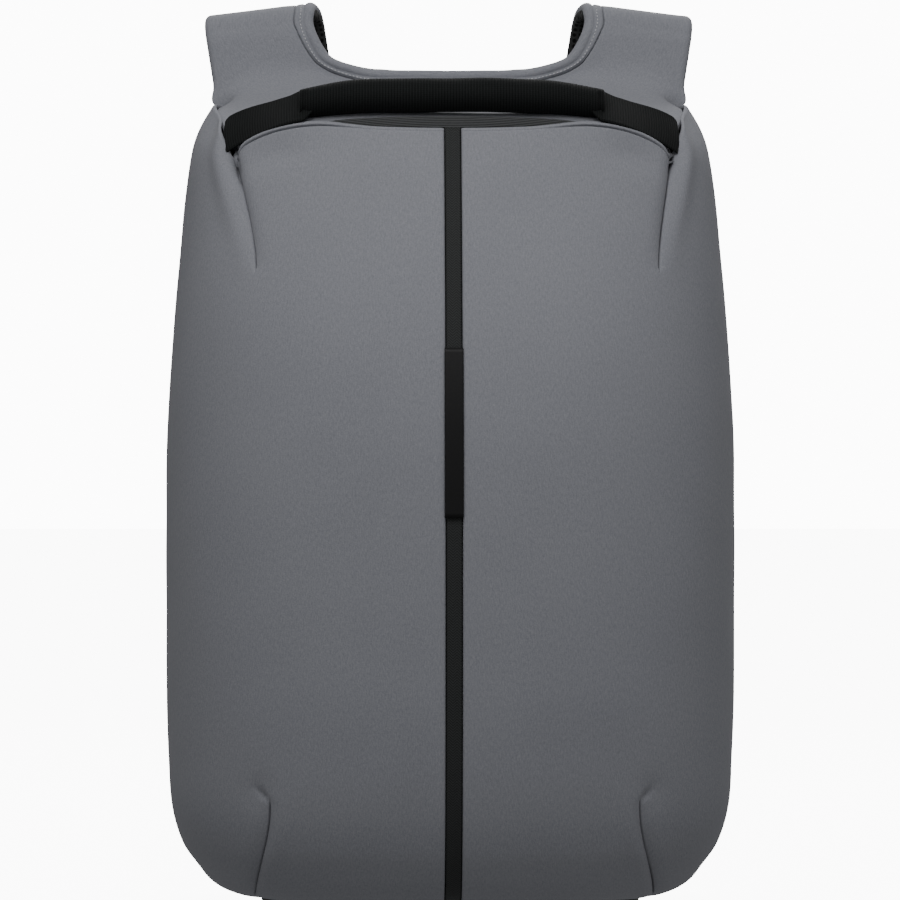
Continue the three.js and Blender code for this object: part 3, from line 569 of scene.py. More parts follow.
def close_ends(piece):
    """Closes the open ends of a swept piece with a face."""
    work = bmesh.new()
    work.from_mesh(piece.data)
    edges = [edge for edge in work.edges if edge.is_boundary]
    if edges:
        bmesh.ops.holes_fill(work, edges=edges, sides=0)
        bmesh.ops.recalc_face_normals(work, faces=work.faces)
    work.to_mesh(piece.data)
    work.free()


BATCH = 40


def repeated(name, slot, count, make):
    """One piece of many small shapes. make adds the one with a given number to a bmesh; they are
    made in batches, because each operator's time grows with what is already there."""
    whole = bmesh.new()
    batch = bpy.data.meshes.new(name)
    for first in range(0, count, BATCH):
        part = bmesh.new()
        for index in range(first, min(first + BATCH, count)):
            make(part, index)
        part.to_mesh(batch)
        part.free()
        whole.from_mesh(batch)
    bpy.data.meshes.remove(batch)
    return finish_piece(name, whole, slot, None)


def rounded(distance, radius):
    """How far a rounded edge has sunk, at a distance from the edge."""
    left = np.clip(radius - distance, 0, radius)
    return radius - np.sqrt(radius**2 - left**2)


def spaced(*stretches):
    """Stops from stretches, each with its start, its end and its number of steps."""
    return np.unique(np.concatenate([np.linspace(a, b, n + 1) for a, b, n in stretches]).round(9))


def band(width, thickness, flat_steps=24, round_steps=5):
    """The outline of a flat band with round edges, as distances from its middle across and up."""
    radius = thickness / 2
    half = width / 2 - radius
    turn = np.linspace(-np.pi / 2, np.pi / 2, round_steps * 2 + 1)
    flat = np.linspace(-half, half, flat_steps + 1)[1:-1]
    right = np.stack([half + radius * np.cos(turn), radius * np.sin(turn)], 1)
    top = np.stack([flat[::-1], np.full(len(flat), radius)], 1)
    return np.concatenate([right, top, -right, -top])


# Colours and materials


def linear(code):
    """Linear colour of an sRGB hex value."""
    parts = [int(code[i : i + 2], 16) / 255 for i in (1, 3, 5)]
    return (*[c / 12.92 if c <= 0.04045 else ((c + 0.055) / 1.055) ** 2.4 for c in parts], 1.0)


def add(tree, kind, output=0, settings=None, **links):
    """Adds a node with its settings, and gives one of its outputs. links gives each input, by its
    name or as i and its number, a value or the output that feeds it."""
    made = tree.nodes.new("ShaderNode" + kind)
    for key, value in (settings or {}).items():
        setattr(made, key, value)
    for key, value in links.items():
        numbered = key[0] == "i" and key[1:].isdigit()
        socket = made.inputs[int(key[1:]) if numbered else key.replace("_", " ")]
        if isinstance(value, bpy.types.NodeSocket):
            tree.links.new(value, socket)
        else:
            socket.default_value = value
    return made.outputs[output]


def new_material(name, **values):
    """A material with these shader values, its cloth map and its Object coordinates."""
    material = bpy.data.materials.new(name)
    material.use_nodes = True
    tree = material.node_tree
    for key, value in values.items():
        tree.nodes["Principled BSDF"].inputs[key.replace("_", " ")].default_value = value
    cloth = add(tree, "UVMap", settings={"uv_map": "cloth"})
    return material, tree, cloth, add(tree, "TexCoord", "Object")


def finish_material(material, shades, tone, relief, depth, strength):
    """Gives a material a colour between two hex values by its tone, and a relief."""
    tree = material.node_tree
    shader = tree.nodes["Principled BSDF"]
    low, high = map(linear, shades)
    colour = add(tree, "Mix", 2, {"data_type": "RGBA"}, i0=tone, i6=low, i7=high)
    normal = add(tree, "Bump", Height=relief, Distance=depth, Strength=strength)
    tree.links.new(colour, shader.inputs["Base Color"])
    tree.links.new(normal, shader.inputs["Normal"])
    return material


# Scale of a wave texture whose bands lie a metre apart. Sizes in the materials are in metres.
WAVE = math.pi / 10
ALONG, ACROSS = {"bands_direction": "Y"}, {"bands_direction": "X"}
TIMES, PLUS = {"operation": "MULTIPLY"}, {"operation": "ADD"}
TIMES_PLUS = {"operation": "MULTIPLY_ADD"}
NUMBER = {"data_type": "FLOAT"}


def laminated_polyester():
    """Fine grey twill laminated on foam: dull, even, with a faint slanting grain."""
    values = {"Roughness": 0.85, "Sheen_Weight": 0.06, "Sheen_Roughness": 0.6}
    name = "laminated_polyester_twill"
    material, tree, cloth, place = new_material(name, Specular_IOR_Level=0.2, **values)
    # The real twill has about 25 ridges to a centimetre. Its slanting floats are drawn twice as
    # wide, 0.8 mm apart and 2.4 mm long.
    turned = {"Rotation": (0, 0, math.radians(55)), "Scale": (3.0, 1.0, 1.0)}
    slant = add(tree, "Mapping", Vector=cloth, **turned)
    floats = add(tree, "TexNoise", Vector=slant, Scale=1 / 0.0024, Detail=2.0)
    grain = add(tree, "TexNoise", Vector=place, Scale=1 / 0.0007, Detail=2.0)
    weave = add(tree, "Mix", settings=NUMBER, i0=0.5, i2=floats, i3=grain)
    sharper = add(tree, "MapRange", Value=weave, i1=0.3, i2=0.7)
    cloud = add(tree, "TexNoise", Vector=place, Scale=1 / 0.06, Detail=1.0)
    tone = add(tree, "Mix", settings=NUMBER, i0=0.2, i2=sharper, i3=cloud)
    return finish_material(material, ("#777980", "#929399"), tone, sharper, 0.00008, 0.6)


def ribbed_webbing():
    """Black polyester webbing: close ribs across its length, with painted shade in the grooves."""
    values = {"Roughness": 0.75, "Sheen_Weight": 0.03, "Specular_IOR_Level": 0.06}
    material, tree, cloth, place = new_material("ribbed_polyester_webbing", **values)
    # Real ribs stand about 1 mm apart; they are drawn half as wide again.
    ribs = add(tree, "TexWave", "Fac", ALONG, Vector=cloth, Scale=WAVE / 0.0015)
    threads = add(tree, "TexWave", "Fac", ACROSS, Vector=cloth, Scale=WAVE / 0.0011)
    fibres = add(tree, "TexNoise", Vector=place, Scale=1 / 0.0008, Detail=3.0)
    height = add(tree, "Math", settings=TIMES_PLUS, i0=threads, i1=0.3, i2=ribs)
    spun = add(tree, "Math", settings=TIMES, i0=fibres, i1=0.35)
    # The tone follows the ribs' height: the grooves are darkened with painted shade and the rib
    # tops lightened.
    tone = add(tree, "Math", settings=TIMES_PLUS, i0=height, i1=0.5, i2=spun)
    return finish_material(material, ("#070808", "#232525"), tone, height, 0.00022, 0.7)


def herringbone_tape():
    """Black woven tape: a fine herringbone, slightly shiny on its threads."""
    values = {"Roughness": 0.65, "Sheen_Weight": 0.03, "Specular_IOR_Level": 0.15}
    material, tree, cloth, place = new_material("herringbone_tape", **values)
    # The slant turns over at every column, which is 2 mm wide. Its threads, 0.7 mm apart, are
    # drawn twice as wide.
    there, along = (add(tree, "SeparateXYZ", axis, Vector=cloth) for axis in (0, 1))
    column = add(tree, "Math", settings={"operation": "PINGPONG"}, i0=there, i1=0.002)
    slanted = add(tree, "CombineXYZ", X=add(tree, "Math", settings=PLUS, i0=column, i1=along))
    threads = add(tree, "TexWave", "Fac", ACROSS, Vector=slanted, Scale=WAVE / 0.0014)
    fibres = add(tree, "TexNoise", Vector=place, Scale=1 / 0.0007, Detail=3.0)
    tone = add(tree, "Mix", settings=NUMBER, i0=0.4, i2=threads, i3=fibres)
    return finish_material(material, ("#1b1c1c", "#3a3c3c"), tone, threads, 0.0002, 0.6)


def spacer_mesh():
    """Black knitted spacer mesh: rows of small open holes in a matt knit."""
    values = {"Roughness": 0.85, "Sheen_Weight": 0.05, "Specular_IOR_Level": 0.15}
    material, tree, cloth, place = new_material("knitted_spacer_mesh", **values)
    # A hole every 3.4 mm, as in the coarser of such meshes
    flat = {"voronoi_dimensions": "2D"}
    holes = {"Scale": 1 / 0.0034, "Randomness": 0.1}
    cells = add(tree, "TexVoronoi", "Distance", flat, Vector=cloth, **holes)
    knit = add(tree, "MapRange", Value=cells, i1=0.18, i2=0.42)
    fibres = add(tree, "TexNoise", Vector=place, Scale=1 / 0.0009, Detail=3.0)
    lighter = add(tree, "Math", settings=PLUS, i0=fibres, i1=0.35)
    tone = add(tree, "Math", settings=TIMES, i0=knit, i1=lighter)
    return finish_material(material, ("#060606", "#353636"), tone, knit, 0.0006, 0.8)


def coated_polyester():
    """Black coated polyester: a plain weave with a slight, uneven sheen."""
    values = {"Roughness": 0.55, "Specular_IOR_Level": 0.3}
    material, tree, _, place = new_material("coated_polyester", **values)
    # The real threads lie 0.4 mm apart and are drawn three times as wide.
    warp = add(tree, "TexWave", "Fac", ACROSS, Vector=place, Scale=WAVE / 0.0013)
    weft = add(tree, "TexWave", "Fac", ALONG, Vector=place, Scale=WAVE / 0.0013)
    weave = add(tree, "Math", settings=PLUS, i0=warp, i1=weft)
    cloud = add(tree, "TexNoise", Vector=place, Scale=1 / 0.02, Detail=4.0)
    return finish_material(material, ("#0a0a0a", "#1a1a1a"), cloud, weave, 0.0002, 0.6)


def knitted_tape(name, low, high):
    """Knitted polyester tape with a fine lengthways rib."""
    values = {"Roughness": 0.75, "Specular_IOR_Level": 0.2}
    material, tree, cloth, place = new_material(name, **values)
    # Ribs 0.6 mm apart, drawn twice as wide
    ribs = add(tree, "TexWave", "Fac", ACROSS, Vector=cloth, Scale=WAVE / 0.0012)
    fibres = add(tree, "TexNoise", Vector=place, Scale=1 / 0.0008, Detail=3.0)
    return finish_material(material, (low, high), fibres, ribs, 0.0003, 0.7)


def moulded_acetal():
    """Black moulded acetal: fine spark-eroded grain with a dull gloss."""
    values = {"Roughness": 0.5, "Specular_IOR_Level": 0.2}
    material, tree, _, place = new_material("moulded_acetal", **values)
    # Pits of 0.2 mm, drawn three times as wide
    grain = add(tree, "TexNoise", Vector=place, Scale=1 / 0.0006, Detail=3.0)
    return finish_material(material, ("#0d0d0e", "#181819"), grain, grain, 0.0001, 0.5)


def grey_thread():
    """Light grey polyester sewing thread: smooth twisted strands that catch the light."""
    material, tree, _, place = new_material("polyester_sewing_thread", Roughness=0.5)
    # Strands of 0.25 mm, drawn twice as wide
    strands = add(tree, "TexNoise", Vector=place, Scale=1 / 0.0005, Detail=2.0)
    return finish_material(material, ("#b4b5b8", "#dcdddf"), strands, strands, 0.0001, 0.5)


materials = {
    "grey_fabric": laminated_polyester(),
    "black_webbing": ribbed_webbing(),
    "black_mesh": spacer_mesh(),
    "black_fabric": coated_polyester(),
    "zip_tape": knitted_tape("knitted_zip_tape", "#0d0e0e", "#232525"),
    "black_plastic": moulded_acetal(),
}
tape_material = herringbone_tape()
# The facing's dark grey is painted shade: it darkens the recess under the grip, where the grip's
# shadow falls.
shade_facing_material = knitted_tape("knitted_shade_facing", "#3f4041", "#4d4e4f")
thread_material = grey_thread()

# Front and side panels
EDGE_RADIUS = 1.6
SEAM_HALF_WIDTH = 0.3
SEAM_DEPTH = 2.6
GAPE_DEPTH = 3.5  # of the top dart's open mouth
DENT_DEPTH = 2.4  # beside it, towards the front
TIP_TUCK = 1.8  # of the fold that the lower dart's tip makes
# Beside the handle's end the side panel's rim is drawn in, and sewn thin.
RIM_PULL = 4.5
RIM_PULL_PLACE = -68.0
RIM_PULL_REACH = 14.5
RIM_DROP = 4.5
THIN_PLACE = np.array([116.0, -72.0, 400.0])
THIN_SHARE = 0.35
LIP_RISE = 2.0
GROOVE_DEPTH = 2.4
GROOVE_PLACE = 2.3
FAR_FROM_SEAM = 40.0


def panel_sides():
    """Columns of a panel: close together at the strip, beside the dart and at the back."""
    front = DART_REACH - CHANNEL / 2
    corner = BAG_DEPTH * 0.62
    beside = np.array([0, 0.1, 0.2, 0.32, 0.5, 0.75, 1.1, 1.6, 2.3, 3.2, 4.5, 6, 8, 10, 12.5])
    edge = np.array([0, 0.1, 0.25, 0.5, 0.8, 1.2, 1.7, 2.5, 4, 6])
    inside = np.linspace(6, front - 15, 30)
    outside = np.linspace(1 + 15 / corner * (CORNER_END - 1), CORNER_END, 22)
    turn = 1 + (CORNER_END - 1) * beside / corner
    back = 2 - edge[::-1] / BELT_DEPTH * (2 - CORNER_END)
    middle = np.linspace(CORNER_END, back[0], 6)
    on_front = [edge / front, inside / front, 1 - beside / front]
    return np.unique(np.concatenate([*on_front, turn, outside, middle, back]))


# How far each sewn dart lies outside its drawn line: no two darts of a bag are quite alike.
DART_HEIGHTS = (0.0, 56.0, 140.0, 250.0, 324.0, 384.5)
DART_SHIFTS = {
    "right": (0.8, -2.6, -1.0, 0.0, 0.0, 3.4),
    "left": (-2.1, -4.2, -4.0, -4.5, -5.1, 1.6),
}
DART_SPREAD = 30.0
FRONT_UNIT = 108.7  # millimetres round the bag for one unit of side, on the front
CORNER_UNIT = 82.0  # and round the corner


def panel_heights():
    """Rows of a panel: close together at its hems, and closer at the darts than between them."""
    edge = [0, 0.1, 0.25, 0.5, 0.8, 1.2, 1.6, 1.9, 2.1, 2.3, 2.5, 2.7, 3.0, 3.5, 4.2, 5.2, 7]
    edge = np.array(edge) / FRONT_TOP
    between = spaced((0.018, 0.16, 26), (0.16, 0.78, 84), (0.78, 0.975, 44))
    return np.unique(np.concatenate([edge, between, 1 - edge]))


def moved_sides(side, shift):
    """The columns of a panel, moved with its dart."""
    unit_length = np.where(side < 1, FRONT_UNIT, CORNER_UNIT)
    off = (side - 1) * unit_length
    off = off + shift * bell(off, DART_SPREAD)
    return np.clip(1 + off / np.where(off < 0, FRONT_UNIT, CORNER_UNIT), 0, 2)


def rim_pull(y):
    return RIM_PULL * bell(y - RIM_PULL_PLACE, RIM_PULL_REACH)


def fabric_relief(points, off_dart, side, top, bottom):
    """How far the padded fabric stands out: soft waves, the darts' seams and the folds at them."""
    z = points[..., 2]
    relief = 0.35 * ripple(points, 95, 3) + 0.12 * ripple(points, 38, 5)
    relief *= ease(side, 0.02, 0.15) * ease(bottom, 0, 20) * ease(top, 0, 25)
    tip = CORNER_TOP - TOP_DART_LENGTH
    upper = ease(z, tip - 0.5, tip + 2)
    lower = 1 - ease(z, LOWER_DART_TIP - 2, LOWER_DART_TIP + 0.5)
    seam = SEAM_DEPTH * bell(off_dart, SEAM_HALF_WIDTH) + 0.3 * bell(off_dart, 1.8)
    relief -= np.maximum(upper, lower) * seam
    # The top dart gapes at its mouth, between a firm ridge outside it and a dent inside it.
    relief -= GAPE_DEPTH * ease(z, CORNER_TOP - 12, CORNER_TOP) * bell(off_dart + 0.6, 1.3)
    gaping = ease(z, tip, CORNER_TOP)
    ridge = (0.6 + 1.9 * gaping) * bell(off_dart - 8, 6.5) * (off_dart > 0)
    relief += ease(z, tip - 12, tip + 30) * ridge
    relief -= DENT_DEPTH * bell(off_dart + 22, 16) * bell(top - 11, 7.5)
    # The lower dart draws the fabric in at its tip.
    relief += 0.8 * bell(off_dart + 5, 5) * bell(z - LOWER_DART_TIP * 0.5, 24)
    tuck = z - LOWER_DART_TIP - 1 - 0.8 * off_dart
    relief -= TIP_TUCK * bell(tuck, 1.5) * bell(off_dart - 3.5, 4)
    relief -= 1.0 * bell(off_dart - 7, 8) * bell(z - LOWER_DART_TIP - 5, 9)
    return relief


def make_panel(name, mirror):
    columns, height = np.meshgrid(panel_sides(), panel_heights())
    shifts = DART_SHIFTS["left" if mirror else "right"]
    line = mix(BASE_THICKNESS + GAP, CORNER_TOP, height)
    side = moved_sides(columns, smooth(DART_HEIGHTS, shifts, line))
    points, off_dart = body(side, height, lambda z: smooth(DART_HEIGHTS, shifts, z))
    normals = body_normal(side, height)
    top = top_height(side) - points[..., 2]
    bottom = points[..., 2] - BASE_THICKNESS - GAP
    strip = np.where(side < 1, points[..., 0] - CHANNEL / 2, FAR_FROM_SEAM)
    behind = np.where(side > CORNER_END, -points[..., 1], FAR_FROM_SEAM)
    out = fabric_relief(points, off_dart, side, top, bottom)
    outside = (columns > 1) & (side < CORNER_END)
    points[..., 0] -= rim_pull(points[..., 1]) * ease(off_dart, 0, 4) * outside * bell(top, 13)
    points[..., 2] -= RIM_DROP * outside * (1 - ease(off_dart, 0, 8)) * (1 - ease(top, 0, 20))
    rising = ease(columns, 0.3, 0.62) * (1 - ease(columns, 0.93, 1.0)) * (columns <= 1)
    points[..., 2] += LIP_RISE * rising * (1 - ease(top, 2, 14))
    for distance in (top, bottom, strip, behind):
        out = out - rounded(distance, EDGE_RADIUS)
    # The hem along the mouth: a narrow lip over a sewn groove, plainest near the darts
    groove = (0.1 + 0.9 * ease(columns, 0.35, 0.65)) * (columns <= 1)
    out = out - GROOVE_DEPTH * groove * bell(top - GROOVE_PLACE, 0.32)
    piece = grid_piece(name, points + normals * out[..., None], "grey_fabric", [name], mirror)
    wall = piece.modifiers.new("wall", "SOLIDIFY")
    wall.thickness = WALL * MM
    wall.offset = -1
    thin_rim(piece, wall)
    return piece


def thin_rim(piece, wall):
    """Thins a panel's wall where its rim is sewn to the handle's end."""
    places = np.empty(len(piece.data.vertices) * 3)
    piece.data.vertices.foreach_get("co", places)
    places = np.abs(places.reshape(-1, 3) / MM - (0, BACK_PLANE / MM, 0))
    away = np.linalg.norm(places - np.abs(THIN_PLACE), axis=1)
    steps = np.rint(mix(THIN_SHARE, 1, ease(away, 10, 26)) * 20).astype(int)
    group = piece.vertex_groups.new(name="wall")
    for step in np.unique(steps):
        group.add(np.flatnonzero(steps == step).tolist(), step / 20, "REPLACE")
    wall.vertex_group = "wall"


make_panel("panel_right", False)
make_panel("panel_left", True)

# The mouth tape is a painted shadow: black, it draws the shaded gap along the panels' upper edge.
SHADOW_TAPE_THICKNESS = 0.5
SHADOW_TAPE_RISE = 1.3
MOUTH_BAND_DEPTH = 1.6
SHADOW_TAPE_END = 0.6
SHADE_FACING_THICKNESS = 0.4
SHADE_FACING_RISE = 7.2  # how far the facing, a painted shade, stands over the panels' edge in the middle, where the grip's shade is deepest
SHADE_FACING_FALL = 3.0  # and how much less at SHADE_FACING_PLACE from the middle
SHADE_FACING_PLACE = 55.0
SHADE_FACING_END = 0.72


def mouth_band(name, end, inset, thickness, rise):
    """A band inside the front panels' upper edge. rise gives its height over it from x."""
    side = np.linspace(0, end, 80)
    top = np.ones_like(side)
    edge = body(side, top)[0] - body_normal(side, top) * (inset + thickness / 2)
    edge[0, 0] = 0.0
    edge = np.concatenate([edge[:0:-1] * (-1, 1, 1), edge])
    height = rise(np.abs(edge[:, 0])) + MOUTH_BAND_DEPTH
    along, across = band(1.0, thickness / SHADE_FACING_RISE, 8, 3).T
    up = (along + 0.5) * height[:, None] - MOUTH_BAND_DEPTH
    points = edge[:, None] + stack(0 * up, across * SHADE_FACING_RISE + 0 * up, up)
    piece = grid_piece(name, points, "zip_tape", None, closed=True)
    close_ends(piece)
    return piece


def shadow_tape_rise(x):
    return SHADOW_TAPE_RISE + 0 * x


def shade_facing_rise(x):
    return np.maximum(SHADE_FACING_RISE - SHADE_FACING_FALL * (x / SHADE_FACING_PLACE) ** 2, 0.3)


# Black tape along the panels' edge, a painted shadow line for the shaded gap there, and behind it
# the dark facing, which paints the grip's shade
mouth_band("mouth_shadow_tape", SHADOW_TAPE_END, WALL + GAP, SHADOW_TAPE_THICKNESS, shadow_tape_rise)
facing = mouth_band("mouth_shade_facing", SHADE_FACING_END, WALL + 3 * GAP, SHADE_FACING_THICKNESS, shade_facing_rise)
facing.data.materials[0] = shade_facing_material

# Centre strip, its plain label and the base
STRIP_THICKNESS = 1.4
STRIP_RECESS = 0.6
BACKING_WIDTH = 20.0
BACKING_THICKNESS = 0.6
LABEL_WIDTH = 9.4
LABEL_THICKNESS = 0.8
LABEL_BOTTOM = 199.5
LABEL_TOP = 284.5


def on_strip(z, section, out):
    """Points of a band that lies down the front's middle, its face out millimetres before it."""
    across, up = section.T
    z = z[:, None]
    slope = np.gradient(front_at(0.0, z), axis=0) / np.gradient(z, axis=0)
    lean = 1 / np.sqrt(1 + slope**2)
    front = front_at(0.0, z) - (out + up[None, :]) * lean
    height = z + (out + up[None, :]) * slope * lean
    return stack(np.broadcast_to(across, front.shape), front, height)


def make_strip():
    z = spaced((BASE_THICKNESS + GAP, 30, 24), (30, FRONT_TOP, 180))
    section = band(STRIP_WIDTH, STRIP_THICKNESS, 20, 4)
    points = on_strip(z, section, -STRIP_RECESS - STRIP_THICKNESS / 2)
    points[..., 2] = np.clip(points[..., 2], BASE_THICKNESS + GAP, FRONT_TOP)
    piece = grid_piece("centre_strip", points, "black_webbing", ["centre_strip"], closed=True)
    close_ends(piece)
    piece.data.materials[0] = tape_material


def make_strip_backing():
    """The tape inside the bag that the strip and both panels' edges are sewn on."""
    z = spaced((BASE_THICKNESS + GAP, 30, 12), (30, FRONT_TOP - 1, 60))
    points = on_strip(z, band(BACKING_WIDTH, BACKING_THICKNESS, 8, 2), -WALL - BACKING_THICKNESS)
    points[..., 2] = np.clip(points[..., 2], BASE_THICKNESS + GAP, FRONT_TOP - 1)
    piece = grid_piece("strip_backing", points, "black_webbing", None, closed=True)
    close_ends(piece)
    piece.data.materials[0] = tape_material


def make_label():
    z = np.linspace(LABEL_BOTTOM, LABEL_TOP, 40)
    section = band(LABEL_WIDTH, LABEL_THICKNESS, 20, 4)
    points = on_strip(z, section, GAP + LABEL_THICKNESS / 2)
    close_ends(grid_piece("strip_label", points, "black_plastic", ["strip_label"], closed=True))


def make_base():
    """The flat base: a coated sheet with the outline of the panels' lower edge, softly bevelled."""
    sides = spaced((0, 1, 40), (1, CORNER_END, 30), (CORNER_END, 2, 8))
    edge = body(sides, 0)[0][:, :2]
    on_front = sides <= 1
    edge[on_front, 1] = front_at(edge[on_front, 0], BASE_THICKNESS + GAP)
    edge[0, 0] = 0
    outline = np.concatenate([edge, edge[:0:-1] * (-1, 1)])
    work = bmesh.new()
    verts = [work.verts.new((x * MM, y * MM + BACK_PLANE, 0)) for x, y in outline]
    face = work.faces.new(verts)
    lifted = bmesh.ops.extrude_face_region(work, geom=[face])["geom"]
    moved = [item for item in lifted if isinstance(item, bmesh.types.BMVert)]
    # The upper face comes right up to the panels' edge, so that no light shows between them.
    bmesh.ops.translate(work, verts=moved, vec=(0, 0, (BASE_THICKNESS + 0.9 * GAP) * MM))
    low = [edge for edge in work.edges if all(vert.co.z < MM for vert in edge.verts)]
    rounding = {"offset": 0.5 * MM, "segments": 3, "profile": 0.5}
    bmesh.ops.bevel(work, geom=low, affect="EDGES", material=-1, **rounding)
    piece = finish_piece("base_panel", work, "black_fabric", ["base_panel"])
    piece.data.shade_flat()


make_strip()
make_strip_backing()
make_label()
make_base()

# Yoke, binding and straps, all on the sheet


def sheet_lengths(row):
    """Distance in millimetres from the neckline's edge to each column of the lattice."""
    points, _ = sheet.read(np.full(len(sheet.columns), row), sheet.columns)
    return np.linalg.norm(np.diff(points, axis=0, prepend=points[:1]), axis=1).cumsum()


def read_across(row, distance, lengths):
    """Points and normals of the sheet in a row, at distances from the neckline's edge."""
    columns = np.interp(distance, lengths, sheet.columns)
    return sheet.read(np.full_like(distance, row), columns)


SEAM_GAP = 0.35
SEAM_TUCK = 1.5
TUCK_DEPTH = 1.6
BESIDE_DART = 0.74
SEAM_ROUNDING = 0.6
HEM_DEPTH = 6.0
HEM_REACH = 1.5
HEM_SHIFT = 1.4
DART_SHIFT = 2.6
RIDGE = 9.0
RIDGE_HALF = 74.0
STRAP_MM_PER_ROW = 42.0
LINING_MARGIN = 2.4


def seam_distance(row):
    """How far the binding's seam lies from the sheet's inner edge."""
    return BINDING_WIDTH + 1.7 * ease(np.abs(row), 0.85, 1.15)


def edge_frame(rows):
    """The sheet's inner edge at these rows, the evened direction in from it, and its normal."""
    fine = np.linspace(-SEAM_ROW, SEAM_ROW, 1601)
    edge, normal = sheet.read(fine, 0.0)
    beside, _ = sheet.read(fine, float(SEAM_COLUMN))
    reach = 50
    window = np.hanning(2 * reach + 1)
    inward = unit(beside - edge)
    first, last = np.repeat(inward[:1], reach, 0), np.repeat(inward[-1:], reach, 0)
    longer = np.concatenate([first, inward, last])
    inward = unit(np.stack([np.convolve(longer[:, k], window, "valid") for k in range(3)], 1))
    layers = (edge, inward, normal)
    return [np.stack([np.interp(rows, fine, layer[:, k]) for k in range(3)], 1) for layer in layers]


def under_handle(points):
    """How far the yoke's padding stands up under the handle's grip."""
    x = np.abs(points[:, 0])
    behind = points[:, 1] - front_edge(np.minimum(x, DART_REACH))[:, 1]
    across = 1 - ease(x, RIDGE_HALF, RIDGE_HALF + 20)
    return RIDGE * ease(behind, 0.8, 8) * (1 - ease(behind, 12, 45)) * across


def make_yoke():
    """The yoke: its outer hem turns down inside the panels, and over the shoulders it is padded
    with round edges."""
    collar = spaced((0, FRONT_SHARE, 70), (FRONT_SHARE, RIM_SHARE, 50), (RIM_SHARE, 1, 30))
    arch = spaced((1, SEAM_ROW - 0.06, 60), (SEAM_ROW - 0.06, SEAM_ROW, 8))
    half = np.unique(np.concatenate([collar, arch]))
    rows = np.concatenate([-half[:0:-1], half])
    steps_in = np.array([0, 0.003, 0.008, 0.016, 0.028, 0.042, 0.06])
    beside_seam = np.linspace(0.008, 0.06, 14)
    middle = np.linspace(0.06, 0.94, 52)
    share = np.unique(np.concatenate([beside_seam, steps_in, middle, 1 - steps_in]))
    tops, lows = [], []
    for row, edge, into in zip(rows, *edge_frame(rows)[:2]):
        lengths = sheet_lengths(row)
        away = abs(row)
        seam = seam_distance(row) + SEAM_GAP
        distance = mix(seam - SEAM_TUCK, lengths[-1], share)
        from_seam, left = np.maximum(distance - seam, 0), lengths[-1] - distance
        points, normals = read_across(row, distance, lengths)
        tucked = 1 - ease(away, OVER_RIM, OVER_RIM + 0.03)
        padded = mix(YOKE_WALL, STRAP_PADDING, ease(away, 0.55, 1))
        thick = mix(padded, HEM_DEPTH, tucked * (1 - ease(left, 0.4, HEM_REACH)))
        to_strap = (SEAM_ROW - away) * STRAP_MM_PER_ROW
        sunk = rounded(from_seam, SEAM_ROUNDING) + rounded(to_strap, SEAM_ROUNDING)
        sunk = np.minimum(sunk + rounded(left, padded / 2) * (1 - tucked), padded / 2)
        sunk = np.where(distance < seam, TUCK_DEPTH, sunk)
        soft = 0.3 * ripple(points, 70, 8) * ease(from_seam, 0, 8) * ease(left, 0, 8)
        # At the sides the hem lies against the panels' wall.
        at_side = tucked * ease(away, FRONT_SHARE - 0.04, FRONT_SHARE + 0.02)
        inside_dart = bell(away - BESIDE_DART, 0.014)
        shift = (HEM_SHIFT * at_side - DART_SHIFT * inside_dart) * (1 - ease(left, 0, 4))
        points = points + unit(points[-1] - points[-2]) * shift[:, None]
        drawn = rim_pull(points[-1, 1]) * tucked * (away > FRONT_SHARE) * (1 - ease(left, 0, 14))
        points[:, 0] -= np.sign(row) * drawn * 0.9
        near = 1 - ease(from_seam, 1, 12)
        points = mix(points, edge + into * distance[:, None], near[:, None])
        points[:, 2] += under_handle(points)
        tops.append(points + normals * (soft - sunk)[:, None])
        lows.append(points - normals * (thick - sunk - soft)[:, None])
    points = np.concatenate([np.array(tops), np.array(lows)[:, ::-1]], axis=1)
    close_ends(grid_piece("yoke", points, "grey_fabric", ["yoke"], closed=True))


# The binding across the sheet: a flat band beside the dark seam, a line of stitches, and a roll
# that turns over the edge. Each place is a distance in from the edge and a height over the face.
ROLL_RADIUS = 3.1
STITCH_LINE = ROLL_RADIUS * 2 + 0.7
STITCH_LENGTH = 1.35
STITCH_PITCH = 2.0
STITCH_RADIUS = 0.27


def binding_section(width):
    """The section where the binding is this wide."""
    band_top = [(width, -2.2), (width - 0.1, -0.5), (width - 0.5, -0.05), (width - 1.1, 0.15)]
    band_top += [(STITCH_LINE + 0.6, 0.25), (STITCH_LINE + 0.3, 0.05), (STITCH_LINE - 0.3, -0.1)]
    turn = np.linspace(0.2, 1.5, 16) * np.pi
    roll = [(ROLL_RADIUS * (1 + math.cos(a)), ROLL_RADIUS * (math.sin(a) - 0.75)) for a in turn]
    under = [(ROLL_RADIUS + 1.5, -BINDING_THICKNESS), (width - 1, -BINDING_THICKNESS)]
    return np.array(band_top + roll + under + [(width, -BINDING_THICKNESS + 1)])


def binding_rows():
    half = spaced((0, 1, 150), (1, SEAM_ROW, 60))
    return np.concatenate([-half[:0:-1], half])


def over_edge(rows, inward, height):
    """Points at a distance in from the sheet's edge and a height over its face; both may vary."""
    edge, across, normal = edge_frame(rows)
    return edge[:, None] + across[:, None] * inward[..., None] + normal[:, None] * height[..., None]


def make_binding():
    rows = binding_rows()
    shape = np.array([binding_section(seam_distance(row)) for row in rows])
    points = over_edge(rows, shape[..., 0], shape[..., 1])
    close_ends(grid_piece("neck_binding", points, "grey_fabric", ["neck_binding"], closed=True))


